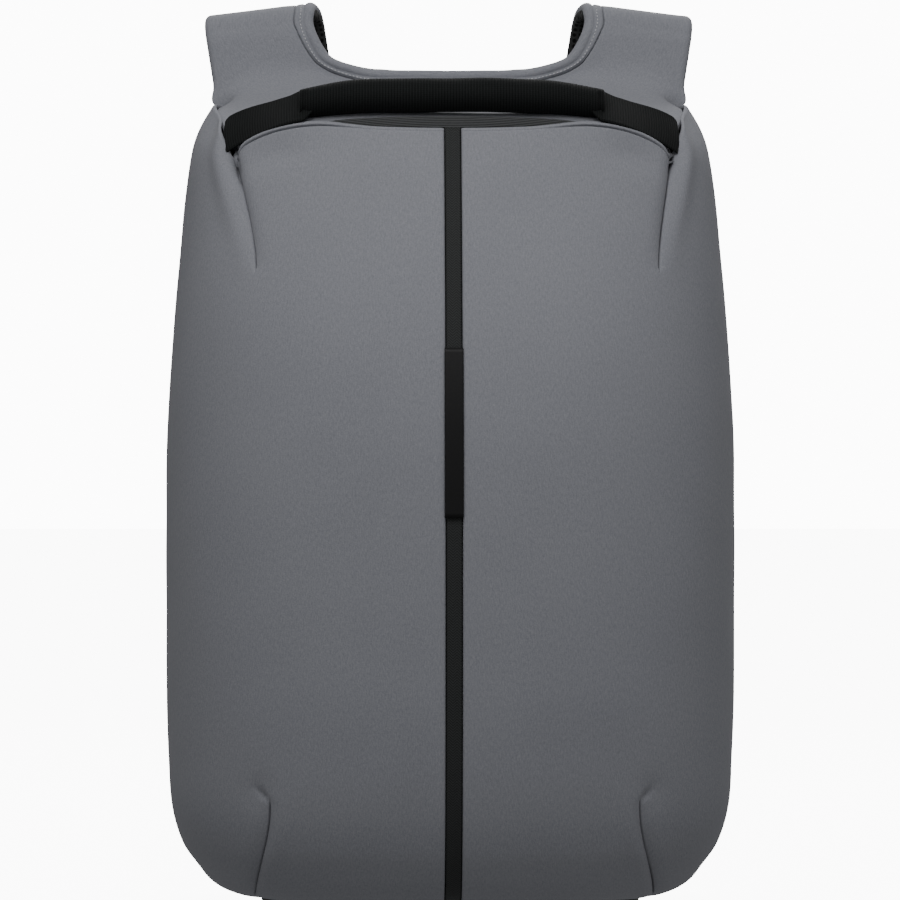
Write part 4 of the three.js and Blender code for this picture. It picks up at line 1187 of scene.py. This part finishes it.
def stitch_row(name, line):
    """Small rounded stitches, one after another, along a line of points in millimetres."""
    length = np.linalg.norm(np.diff(line, axis=0, prepend=line[:1]), axis=1).cumsum()
    starts = np.arange(STITCH_PITCH / 2, length[-1] - STITCH_PITCH, STITCH_PITCH)

    def make(work, index):
        stops = (starts[index], starts[index] + STITCH_LENGTH)
        ends = [Vector([np.interp(at, length, line[:, k]) for k in range(3)]) for at in stops]
        turn = (ends[1] - ends[0]).to_track_quat("X", "Z").to_matrix()
        stretch = STITCH_LENGTH / 2 / STITCH_RADIUS
        for vert in bmesh.ops.create_icosphere(work, subdivisions=1, radius=STITCH_RADIUS)["verts"]:
            vert.co = turn @ Vector((vert.co.x * stretch, vert.co.y, vert.co.z))
            vert.co = ((ends[0] + ends[1]) / 2 + vert.co) * MM + Vector((0, BACK_PLANE, 0))

    piece = repeated(name, "grey_fabric", len(starts), make)
    piece.data.materials[0] = thread_material


def make_stitches():
    rows = binding_rows()
    inward = np.full((len(rows), 1), STITCH_LINE)
    stitch_row("binding_stitches", over_edge(rows, inward, 0 * inward + STITCH_RADIUS / 2)[:, 0])


def end_taper(rows, first_reach, last_reach, least):
    """How much of a band's thickness is left near its two ends, rounded over distances in rows."""
    near = np.minimum((rows - rows[0]) / first_reach, (rows[-1] - rows) / last_reach)
    return np.sqrt(1 - (1 - np.clip(near, 0, 1)) ** 2) * (1 - least) + least


def sheet_band(name, slot, rows, inner, outer, top, bottom, crown, mirror, relief=None):
    """A padded band on the sheet with round edges, in from its inner and outer edge, which lies
    between top and bottom millimetres under its face. Each may have a value for every row."""
    reach = STRAP_PADDING / 2 / STRAP_MM_PER_ROW
    taper = end_taper(rows, SEAM_ROUNDING / STRAP_MM_PER_ROW, reach, 0.05)
    limits = [limit + 0 * rows for limit in (inner, outer, top, bottom)]
    lines = []
    for row, left, near, far, high, low in zip(rows, taper, *limits):
        lengths = sheet_lengths(row)
        width = lengths[-1] - near - far
        thick = low - high
        across, up = band(width, thick, 40, 5).T
        distance = across + width / 2 + near
        dome = 1 - np.abs(2 * across / width) ** 3
        facing = np.sign(up) * (np.abs(up) > thick * 0.3)
        under = high + thick / 2 - up * left - crown * dome * facing
        points, normals = read_across(row, distance, lengths)
        if relief:
            under = under - relief(across / width, np.sign(up), points)
        lines.append(points - normals * under[:, None])
    piece = grid_piece(name, np.array(lines), slot, [name], mirror, closed=True)
    close_ends(piece)
    return piece


STRAP_CROWN = 0.6
SEWN_SHARE = 0.42  # how far the sewn lines lie from a strap's middle, as a share of its width


def strap_relief(share, face, points):
    """Soft waves in a strap's cover, and the sewn line near each edge."""
    soft = 0.25 * ripple(points, 60, 12)
    sewn = bell((np.abs(share) - SEWN_SHARE) * 60, 0.8) * 0.7
    return (soft - sewn) * (face > 0)


def strap_stitches(ending, mirror, share):
    """A row of stitches in the sewn line near a strap's edge. share is its place across."""
    crown = STRAP_CROWN * (1 - abs(2 * share) ** 3)
    line = []
    for row in np.linspace(SEAM_ROW + 0.12, END_ROW - 0.12, 160):
        lengths = sheet_lengths(row)
        points, normals = read_across(row, lengths[-1:] * (0.5 + share), lengths)
        up = crown + strap_relief(share, 1.0, points) + STITCH_RADIUS / 2
        line.append(points[0] + normals[0] * up[0])
    name = "strap_stitches_%s_%s" % (ending, "inner" if share < 0 else "outer")
    stitch_row(name, np.array(line) * ((-1, 1, 1) if mirror else (1, 1, 1)))


def make_straps():
    first, last = SEAM_ROW + 0.1, END_ROW - 0.1
    rows = spaced((SEAM_ROW + 0.008, first, 8), (first, last, 150), (last, END_ROW, 8))
    lining_rows = spaced((ROOT_ROW, 1, 8), (1, last, 190), (last, END_ROW, 8))
    # Over the shoulder the mesh comes round the padding's inner edge.
    round_edge = ease(lining_rows, 1.2, 1.45) * (1 - ease(lining_rows, 2.6, 3.4))
    lining_inner = mix(LINING_MARGIN, -0.5, round_edge)
    lining_top = STRAP_PADDING + GAP - 5.0 * round_edge
    for ending, mirror in (("right", False), ("left", True)):
        name = "strap_" + ending
        shape = (rows, 0, 0, 0, STRAP_PADDING, STRAP_CROWN)
        strap = sheet_band(name, "grey_fabric", *shape, mirror, strap_relief)
        for share in (-SEWN_SHARE, SEWN_SHARE):
            strap_stitches(ending, mirror, share)
        under = STRAP_PADDING + GAP + LINING
        name = "strap_lining_" + ending
        shape = (lining_rows, lining_inner, LINING_MARGIN, lining_top, under, 0)
        sheet_band(name, "black_mesh", *shape, mirror)


make_yoke()
make_binding()
make_stitches()
make_straps()

# Handle


def handle_middle(x):
    share = np.abs(x) / DART_REACH
    end = share**4
    edge = front_edge(np.minimum(np.abs(x), DART_REACH))
    y = edge[..., 1] + mix(HANDLE_SETBACK, HANDLE_END_SETBACK, end)
    return stack(x, y, FRONT_TOP + HANDLE_HEIGHT - HANDLE_DROP * end)


HANDLE_TWIST = math.radians(10)
TWIST_DROP = 1.5
WEBBING_SINK = 1.3
CORNER_ROUNDING = 2.5


def wall_inside(y, z):
    """Where the handle's end is sewn into the side panel's rim."""
    bulge = depth(z) - BELT_DEPTH
    forward = np.clip((-BELT_DEPTH - y) / bulge, 0, 1)
    across = (1 - forward**SQUARENESS) ** (1 / SQUARENESS)
    return half_width(z) * across - rim_pull(y) - WEBBING_SINK


def webbing_points(x, across, out, folded):
    """Points on the handle's webbing: across its width and out from its middle plane. Between
    the grip and its end the webbing leans back further."""
    turned = ease(np.abs(x), 68, 84) * (1 - ease(np.abs(x), 88, 113))
    lean = (HANDLE_LEAN + HANDLE_TWIST * turned)[:, None]
    near_end = 1 - np.clip((DART_REACH - np.abs(x)) / 3, 0, 1)[:, None]
    across = np.minimum(across, WEBBING_WIDTH / 2 - CORNER_ROUNDING * near_end**2)
    middle = handle_middle(x) - stack(0 * x, 0, TWIST_DROP * turned)
    high = across * folded[:, None]
    base = middle[:, None] + stack(0 * high, high * np.sin(lean), high * np.cos(lean))
    end = handle_middle(np.array([DART_REACH]))
    end_y = end[:, 1] + high[:1] * math.sin(HANDLE_LEAN)
    end_z = end[:, 2] + high[:1] * math.cos(HANDLE_LEAN)
    reach = wall_inside(end_y, end_z)
    base[..., 0] *= mix(1, reach / DART_REACH, (np.abs(x) / DART_REACH)[:, None] ** 4)
    return base + stack(0 * out, -out * np.cos(lean), out * np.sin(lean))


def make_webbing():
    half = GRIP_LENGTH / 2
    x = spaced((-DART_REACH, -half + 4, 60), (-half + 4, half - 4, 40), (half - 4, DART_REACH, 60))
    section = band(WEBBING_WIDTH, WEBBING_THICKNESS, 30, 4)
    shape = np.broadcast_to(section, (len(x), *section.shape))
    folded = mix(0.5, 1.0, ease(np.abs(x), half - 8, half - 2))
    points = webbing_points(x, shape[..., 0], shape[..., 1], folded)
    name = "handle_webbing"
    close_ends(grid_piece(name, points, "black_webbing", [name], closed=True))


def make_grip():
    """The padded grip: webbing turned round a foam core, with a fold at each end."""
    half = GRIP_LENGTH / 2
    x = spaced((-half, -half + 6, 16), (-half + 6, half - 6, 120), (half - 6, half, 16))
    angle = np.linspace(0, 2 * np.pi, 57)[:-1]
    from_end = half - np.abs(x)
    left = np.sqrt(1 - (1 - np.clip(from_end / 0.8, 0, 1)) ** 2) * 0.2 + 0.8
    # The fold beside the end is a groove on the front alone.
    on_front = ease(-np.cos(angle - 0.3), 0.1, 0.7)
    groove = 0.24 * bell(from_end - 2.4, 1.3)[:, None] * on_front
    size = ((1.02 - 0.12 * bell(from_end, 18)) * left)[:, None] - groove
    middle = handle_middle(x)
    flatter = 1 - 0.04 * np.cos(2 * (angle - HANDLE_LEAN)) ** 2
    deep = np.cos(angle) * GRIP_DEPTH / 2 * flatter
    high = np.sin(angle) * GRIP_HEIGHT / 2 * flatter
    x, y, z = np.moveaxis(middle[:, None], -1, 0)
    points = stack(x, y + deep * size, z + high * size)
    seam = bell(((angle - 1.45 * np.pi + np.pi) % (2 * np.pi) - np.pi) * GRIP_HEIGHT / 2, 0.8) * 0.7
    outward = unit(stack(0, deep, high))
    soft = 0.16 * ripple(points, 22, 21)
    points = points + outward * (soft - seam)[..., None]
    piece = grid_piece("handle_grip", points, "black_webbing", ["handle_grip"], closed=True)
    close_ends(piece)


make_webbing()
make_grip()

# Back: zip and padded panel
ZIP_WIDTH = 12.0
ZIP_THICKNESS = 1.6
BACK_TOP = 425.5
ARCH_FOOT = 0.86
BACK_SQUARENESS = 4.0
BACK_PADDING = 9.0
BACK_INSIDE = 2.4
CHANNEL_SHARE = 0.12


def wall_end(z):
    heights = np.linspace(0, 1, 60)
    side = np.full_like(heights, 2.0)
    inner = body(side, heights)[0] - body_normal(side, heights) * WALL
    return np.interp(z, inner[:, 2], inner[:, 0])


def back_outline(inset, along=40, round_steps=48):
    """Half the arched outline at the back, from the foot of its right side to its top."""
    low = BASE_THICKNESS + 2 * GAP + inset
    foot = BACK_TOP * ARCH_FOOT
    z = mix(low, foot, np.linspace(0, 1, along + 1) ** 1.6)
    exponent = 2 / BACK_SQUARENESS
    t = np.linspace(0, np.pi / 2, round_steps + 1)[1:]
    arch_z = foot + (BACK_TOP - inset - foot) * np.sin(t) ** exponent
    within = wall_end(foot) - 2 * GAP - inset
    arch_x = within * np.maximum(np.cos(t), 0) ** exponent
    arch_x = np.minimum(arch_x, wall_end(arch_z) - 2 * GAP - inset)
    arch_x[-1] = 0
    x = np.concatenate([wall_end(z) - 2 * GAP - inset, arch_x])
    return np.stack([x, np.concatenate([z, arch_z])], 1)


def whole_outline(inset):
    right = back_outline(inset)
    return np.concatenate([right, right[-2::-1] * (-1, 1)])


def ring(name, section, slot, replaced):
    """A closed ring round the back outline with a cross-section of (inset, behind) places."""
    lines = []
    for inset, behind in section:
        line = whole_outline(inset)
        lines.append(stack(line[:, 0], behind, line[:, 1]))
    points = np.array(lines)
    points = np.concatenate([points, points[:, :1]], axis=1)
    return grid_piece(name, points.swapaxes(0, 1), slot, replaced, closed=True, weld=1e-6)


COIL_WIDTH = 4.6
COIL_HEIGHT = 1.3
COIL_PITCH = 1.5


def make_zip():
    middle = ZIP_WIDTH / 2
    half = [(0.0, -ZIP_THICKNESS), (0.0, -0.5), (0.4, -0.1), (1.0, 0.0)]
    half += [(middle - 3.2, 0.1), (middle - 2.6, -0.3)]
    section = half + [(ZIP_WIDTH - inset, behind) for inset, behind in half[::-1]]
    ring("zip", section, "zip_tape", ["zip"])


def make_coil():
    """The zip's coil: one rounded tooth after another, from both sides in turn."""
    line = whole_outline(ZIP_WIDTH / 2)
    line = np.concatenate([line, line[:1]])
    length = np.linalg.norm(np.diff(line, axis=0, prepend=line[:1]), axis=1).cumsum()
    count = int(length[-1] / COIL_PITCH)

    def make(work, index):
        s = (index + 0.5) * length[-1] / count
        x, z = (np.interp(s, length, line[:, k]) for k in (0, 1))
        steps = [[np.interp(s + step, length, line[:, k]) for k in (0, 1)] for step in (-0.4, 0.4)]
        along = Vector((steps[1][0] - steps[0][0], 0, steps[1][1] - steps[0][1])).normalized()
        across = Vector((-along.z, 0, along.x))
        shift = COIL_WIDTH * (0.1 if index % 2 else -0.1)
        tooth = bmesh.ops.create_uvsphere(work, u_segments=6, v_segments=4, radius=1.0)
        for vert in tooth["verts"]:
            x_part, y_part, z_part = vert.co
            place = Vector((x, 0.35 + y_part * COIL_HEIGHT / 2, z))
            place += along * x_part * COIL_PITCH * 0.46
            place += across * (z_part * COIL_WIDTH * 0.4 + shift)
            vert.co = place * MM + Vector((0, BACK_PLANE, 0))

    repeated("zip_coil", "zip_tape", count, make)


SEWN_LINES = (0.36, 0.68)
CUSHION_START = 0.55  # how much of the padding's height the cushions have before they swell
CLOTH_STEPS = 20
CLOTH_PRESSURE = 4.0
MOST_SWELL = 5.0
SLACK = 0.03
HELD_EDGE = 0.955  # how far out the cloth is free, as a share of half its width
HELD_SEAM = 0.006
LEAST_ROW = 14.0  # the simulated grid ends where its rows get shorter than this
SIM_COLUMNS = 61
HEM_HEIGHT = 0.6
CHANNEL_DEPTH = 2.4
SEWN_DEPTH = 2.4


def back_grid(outline, share):
    """Points of the back panel before it swells, and how high each one is as a share."""
    x = outline[:, 0:1] * share
    z = np.broadcast_to(outline[:, 1:2], x.shape)
    low, high = outline[0, 1], outline[-1, 1]
    height = (z - low) / (high - low)
    ends = 1 - np.abs(2 * height - 1) ** 8
    cushion = 1 - np.abs(share) ** 6
    behind = HEM_HEIGHT + (BACK_PADDING - 2 * HEM_HEIGHT) * CUSHION_START * cushion * ends
    return stack(x, behind, z), height, cushion * ends


def sewn_line(height, share, line):
    """Signed distance as a share of the panel's height from one of its sewn lines."""
    return height - line - 0.03 * np.cos(share * np.pi)


def swollen(points, height, share):
    """The cushions swell as cloth under pressure between their seams, which hold still."""
    rows, columns = points.shape[:2]
    work = bmesh.new()
    bmesh.ops.create_grid(work, x_segments=columns - 1, y_segments=rows - 1, size=1)
    work.verts.ensure_lookup_table()
    spots = np.array([vert.co[:2] for vert in work.verts])
    column, row = np.rint((spots + 1) / 2 * (columns - 1, rows - 1)).astype(int).T
    for vert, place in zip(work.verts, points[row, column] * MM + (0, BACK_PLANE, 0)):
        vert.co = place
    bmesh.ops.recalc_face_normals(work, faces=work.faces)
    if sum(face.normal.y for face in work.faces) < 0:
        bmesh.ops.reverse_faces(work, faces=work.faces)
    mesh = bpy.data.meshes.new("cushions")
    work.to_mesh(mesh)
    work.free()
    piece = bpy.data.objects.new("cushions", mesh)
    bpy.context.scene.collection.objects.link(piece)
    share = np.broadcast_to(share, height.shape)
    held = (np.abs(share) > HELD_EDGE) | (np.abs(share) < CHANNEL_SHARE * 0.8)
    held[:2] = held[-2:] = True
    for line in SEWN_LINES:
        held |= np.abs(sewn_line(height, share, line)) < HELD_SEAM
    group = piece.vertex_groups.new(name="sewn")
    group.add(np.flatnonzero(held[row, column]).tolist(), 1.0, "REPLACE")
    cloth = piece.modifiers.new("cloth", "CLOTH")
    cloth.settings.quality = 6
    cloth.settings.vertex_group_mass = "sewn"
    cloth.settings.use_pressure = True
    cloth.settings.uniform_pressure_force = CLOTH_PRESSURE
    cloth.settings.effector_weights.gravity = 0.0
    cloth.settings.shrink_min = -SLACK
    scene = bpy.context.scene
    for step in range(1, CLOTH_STEPS + 1):
        scene.frame_set(step)
    shown = piece.evaluated_get(bpy.context.evaluated_depsgraph_get()).data
    places = np.empty(len(shown.vertices) * 3)
    shown.vertices.foreach_get("co", places)
    moved = np.empty((rows, columns, 3))
    moved[row, column] = (places.reshape(-1, 3) - (0, BACK_PLANE, 0)) / MM
    scene.frame_set(1)
    bpy.data.objects.remove(piece)
    bpy.data.meshes.remove(mesh)
    move = moved - points
    far = np.linalg.norm(move, axis=-1, keepdims=True)
    return move / np.maximum(far, 1e-9) * MOST_SWELL * np.tanh(far / MOST_SWELL)


def make_back_panel():
    inset = ZIP_WIDTH + GAP + 0.3
    outline = back_outline(inset, 90, 70)
    share = spaced((-1, -0.97, 8), (-0.97, 0.97, 150), (0.97, 1, 8))
    points, height, full = back_grid(outline, share)
    coarse = back_outline(inset, 64, 40)
    coarse = coarse[coarse[:, 0] > LEAST_ROW]
    across = np.linspace(-1, 1, SIM_COLUMNS)
    rough, rough_height, _ = back_grid(coarse, across)
    moves = swollen(rough, rough_height, across)
    by_row = smooth(coarse[:, 1], moves, np.minimum(outline[:, 1], coarse[-1, 1]))
    points = points + smooth(across, by_row.swapaxes(0, 1), share).swapaxes(0, 1)
    low, high = outline[0, 1], outline[-1, 1]
    points[..., 1] += 0.4 * ripple(points, 60, 31) * full
    points[..., 1] -= CHANNEL_DEPTH * bell(share, CHANNEL_SHARE) * full
    for line in SEWN_LINES:
        level = sewn_line(height, share, line) * (high - low)
        points[..., 1] -= SEWN_DEPTH * bell(level, 2.4) * full * ease(np.abs(share), 0.14, 0.2)
    back = points.copy()
    back[..., 1] = -BACK_INSIDE
    both = np.concatenate([points, back[:, ::-1]], axis=1)
    piece = grid_piece("back_panel", both, "black_mesh", ["back_panel"], closed=True)
    close_ends(piece)


make_zip()
make_coil()
make_back_panel()

# Lower straps
LOWER_WEBBING = 25.0
ADJUSTER_WIDTH = 36.0
ADJUSTER_HEIGHT = 24.0
ADJUSTER_THICKNESS = 4.0
ADJUSTER_SLOT = 5.0
ADJUSTER_BAR = 4.0
TAB_BACK = 4.0
TAB_TOP = 46.0
TAB_LOW = 14.0
TAB_FOOT = 10.0
TAB_THICKNESS = 2.0
TAB_SEAM = 3.2
TAIL_LENGTH = 70.0


def strap_tip():
    """The middle of the adjuster's upper edge, where it hangs from the strap's end."""
    low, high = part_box("adjuster_right")
    x, y = (low.x + high.x) / 2, (low.y + high.y) / 2 - BACK_PLANE
    return np.array([x, y, high.z]) / MM


def rounded_rectangle(half, low, high, radius, steps=6, between=8):
    """Points round a rectangle with rounded corners, in the plane of x and z."""
    turn = np.linspace(0, np.pi / 2, steps + 1)
    corners = ((half, high, 0), (-half, high, 1), (-half, low, 2), (half, low, 3))
    arcs = []
    for x, z, quarter in corners:
        middle = np.array([x - np.sign(x) * radius, z - radius if quarter < 2 else z + radius])
        angle = turn + quarter * np.pi / 2
        arcs.append(middle + radius * np.stack([np.cos(angle), np.sin(angle)], 1))
    points = []
    for arc, following in zip(arcs, arcs[1:] + arcs[:1]):
        points += [arc, mix(arc[-1], following[0], np.linspace(0, 1, between + 1)[1:-1, None])]
    return np.concatenate(points)


ADJUSTER_ROUNDING = 1.0
ADJUSTER_RIBS = (-3.5, -6.5, -9.5)


def make_adjuster(ending, mirror):
    """A moulded frame with round edges round one slot, with three ribs to grip it by."""
    tip = strap_tip()
    slot_low = ADJUSTER_BAR - ADJUSTER_HEIGHT
    slot = rounded_rectangle(LOWER_WEBBING / 2 + 4 * GAP, slot_low, slot_low + ADJUSTER_SLOT, 0.8)
    frame_edge = rounded_rectangle(ADJUSTER_WIDTH / 2, -ADJUSTER_HEIGHT, 0, 2.5)
    width = np.linalg.norm(frame_edge - slot, axis=1)
    radius = ADJUSTER_ROUNDING
    turn = np.linspace(0, np.pi / 2, 5)
    lines = []
    for face in (1, -1):
        line = [(radius * (1 - math.cos(a)), radius * math.sin(a), 0) for a in turn]
        line += [(0, radius, share) for share in np.linspace(0, 1, 26)[1:-1]]
        line += [(-radius * (1 - math.cos(a)), radius * math.sin(a), 1) for a in turn[::-1]]
        for shift, rise, share in line[::face]:
            reach = mix(radius, width - radius, share) if 0 < share < 1 else width * share + shift
            place = slot + (frame_edge - slot) * (reach / width)[:, None]
            y = np.full(len(place), face * (ADJUSTER_THICKNESS / 2 - radius + rise))
            for rib in ADJUSTER_RIBS:
                on_plate = 1 - ease(np.abs(place[:, 0]), 11, 13)
                y += face * 0.5 * bell(place[:, 1] - rib, 0.7) * on_plate * (rise >= radius)
            lines.append(stack(place[:, 0], y, place[:, 1]))
    points = np.array(lines).swapaxes(0, 1) + tip
    points = np.concatenate([points, points[:1]], axis=0)
    name = "adjuster_" + ending
    grid_piece(name, points, "black_plastic", [name], mirror, closed=True, weld=1e-6)


def make_tab(ending, mirror):
    """The padded corner tab: sewn to the panel's edge, with the webbing's foot under its top."""
    z = spaced((TAB_LOW, TAB_LOW + 1, 5), (TAB_LOW + 1, TAB_TOP - 1, 30), (TAB_TOP - 1, TAB_TOP, 5))
    outer = half_width(z) - BACK_INSET
    inner_top = half_width(TAB_TOP) - BACK_INSET - LOWER_WEBBING
    inner_foot = half_width(TAB_LOW) - BACK_INSET - TAB_FOOT
    inner = mix(inner_foot, inner_top, (z - TAB_LOW) / (TAB_TOP - TAB_LOW))
    top, under = TAB_BACK + TAB_THICKNESS / 2, TAB_BACK - TAB_THICKNESS / 2
    share = np.linspace(0, 1, 24)
    edge = 0.8
    near_end = rounded(z - TAB_LOW, edge) + rounded(TAB_TOP - z, edge)
    lines = []
    for left, right, sunk in zip(inner, outer, near_end):
        x = mix(left, right, share)
        y = top + 0.5 * np.sqrt(np.maximum(np.sin(np.pi * share), 0)) - sunk
        for from_edge in (x - left, right - x):
            y -= 0.45 * bell(from_edge - TAB_SEAM, 0.5) + rounded(from_edge, edge)
        side = [(right, top - edge), (right + 0.1, (top + GAP) / 2), (right, GAP)]
        low = under + 0.4 * sunk
        side += [(right - WALL, GAP), (right - WALL, low), (left, low)]
        lines.append(np.concatenate([np.stack([x, y], 1), side]))
    section = np.array(lines)
    points = stack(section[..., 0], section[..., 1], z[:, None])
    name = "webbing_tab_" + ending
    close_ends(grid_piece(name, points, "grey_fabric", [name], mirror, closed=True))
    inside = stack(inner + TAB_SEAM, top + 0.25, z)[6:-6]
    stitch_row("tab_stitches_" + ending, inside * ((-1, 1, 1) if mirror else (1, 1, 1)))


def ribbon(name, path, mirror):
    """Flat webbing along a path, with its width along x."""
    across = np.array([1.0, 0, 0])
    normal = unit(np.cross(unit(np.gradient(path, axis=0)), across))
    a, up = band(LOWER_WEBBING, WEBBING_THICKNESS, 20, 4).T
    points = path[:, None] + across * a[None, :, None] + normal[:, None] * up[None, :, None]
    close_ends(grid_piece(name, points, "black_webbing", [name], mirror, closed=True))


def make_lower_strap(ending, mirror):
    """The webbing from the tab up to the adjuster, round its lower bar and down as a loose tail."""
    tip = strap_tip()
    turn = ADJUSTER_THICKNESS / 2 + WEBBING_THICKNESS / 2 + 3 * GAP
    middle = tip + (0, 0, -ADJUSTER_HEIGHT + ADJUSTER_BAR / 2)
    foot_x = half_width(TAB_TOP) - BACK_INSET - LOWER_WEBBING / 2
    foot = np.array([foot_x, TAB_BACK, TAB_TOP + 2 * GAP])
    top = middle + (0, -turn, -turn)
    t = np.linspace(0, 1, 60)[:-1, None]
    sag = np.sin(np.pi * t) * (0, -1.2, 0)
    over = ADJUSTER_BAR / 2 + WEBBING_THICKNESS / 2 + 2 * GAP
    angle = np.linspace(0, np.pi, 28)[:, None]
    rise = over * np.maximum(np.sin(angle), 0) ** 0.6
    loop = middle + np.concatenate([0 * angle, -turn * np.cos(angle), rise], 1)
    down = np.linspace(0, 1, 40)[1:, None]
    tail = middle + (0, turn, 0) + down * (0, 0, -TAIL_LENGTH)
    path = np.concatenate([mix(foot, top, t) + sag, loop, tail])
    ribbon("lower_webbing_" + ending, path, mirror)


for ending, mirror in (("right", False), ("left", True)):
    make_lower_strap(ending, mirror)
    make_adjuster(ending, mirror)
    make_tab(ending, mirror)

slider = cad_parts["zip_slider"].data
slider.materials.clear()
slider.materials.append(materials["black_plastic"])

# Floor, light and the soft white surround
FLOOR_SIZE = 30.0
SEEN_WHITE = 12.0  # how bright the floor and the surround are to the camera
SKY = 0.38
UNDER_SKY = 0.25
HORIZON = (-0.12, 0.24)  # the heights between which the one passes into the other
SKY_LEAN = (0.16, -0.1, 1.0)  # the sky is brighter from the right and from the front
# Each lamp's place, what it points at, its size and its power
LIGHTS = {
    "near_front": ((-0.06, -0.62, 0.9), (0, -0.05, 0.3), 0.6, 3.9),
    "rear": ((0.2, 1.2, 1.4), (0, 0, 0.25), 1.2, 14.0),
}


def make_floor():
    """A pale floor. It takes shadows, but sends no light back up on the bag."""
    work = bmesh.new()
    bmesh.ops.create_grid(work, x_segments=1, y_segments=1, size=FLOOR_SIZE / 2)
    mesh = bpy.data.meshes.new("floor")
    work.to_mesh(mesh)
    work.free()
    floor = bpy.data.objects.new("floor", mesh)
    bpy.context.scene.collection.objects.link(floor)
    floor.visible_diffuse = False
    floor.visible_glossy = False
    material = bpy.data.materials.new("pale_floor")
    material.use_nodes = True
    shader = material.node_tree.nodes["Principled BSDF"]
    shader.inputs["Roughness"].default_value = 0.9
    shader.inputs["Base Color"].default_value = (0.9, 0.9, 0.9, 1)
    shader.inputs["Emission Color"].default_value = (1, 1, 1, 1)
    shader.inputs["Emission Strength"].default_value = SEEN_WHITE - 2
    mesh.materials.append(material)


def area_light(name, place, target, size, power):
    data = bpy.data.lights.new(name, "AREA")
    data.shape = "DISK"
    data.size = size
    data.energy = power
    light = bpy.data.objects.new(name, data)
    light.location = place
    light.visible_camera = False
    light.rotation_euler = (Vector(target) - Vector(place)).to_track_quat("-Z", "Y").to_euler()
    bpy.context.scene.collection.objects.link(light)


def make_surround():
    """A white surround, which lights the bag more from above the horizon than from below it."""
    world = bpy.data.worlds.new("surround")
    bpy.context.scene.world = world
    world.use_nodes = True
    tree = world.node_tree
    background = tree.nodes["Background"]
    background.inputs["Color"].default_value = (1, 1, 1, 1)
    direction = add(tree, "TexCoord", "Generated")
    product = {"operation": "DOT_PRODUCT"}
    height = add(tree, "VectorMath", "Value", product, i0=direction, i1=SKY_LEAN)
    low, high = HORIZON
    lit = add(tree, "MapRange", Value=height, i1=low, i2=high, i3=UNDER_SKY, i4=SKY)
    seen = add(tree, "LightPath", "Is Camera Ray")
    strength = add(tree, "Mix", settings=NUMBER, i0=seen, i2=lit, i3=SEEN_WHITE)
    tree.links.new(strength, background.inputs["Strength"])


make_floor()
make_surround()
for name, light in LIGHTS.items():
    area_light(name, *light)
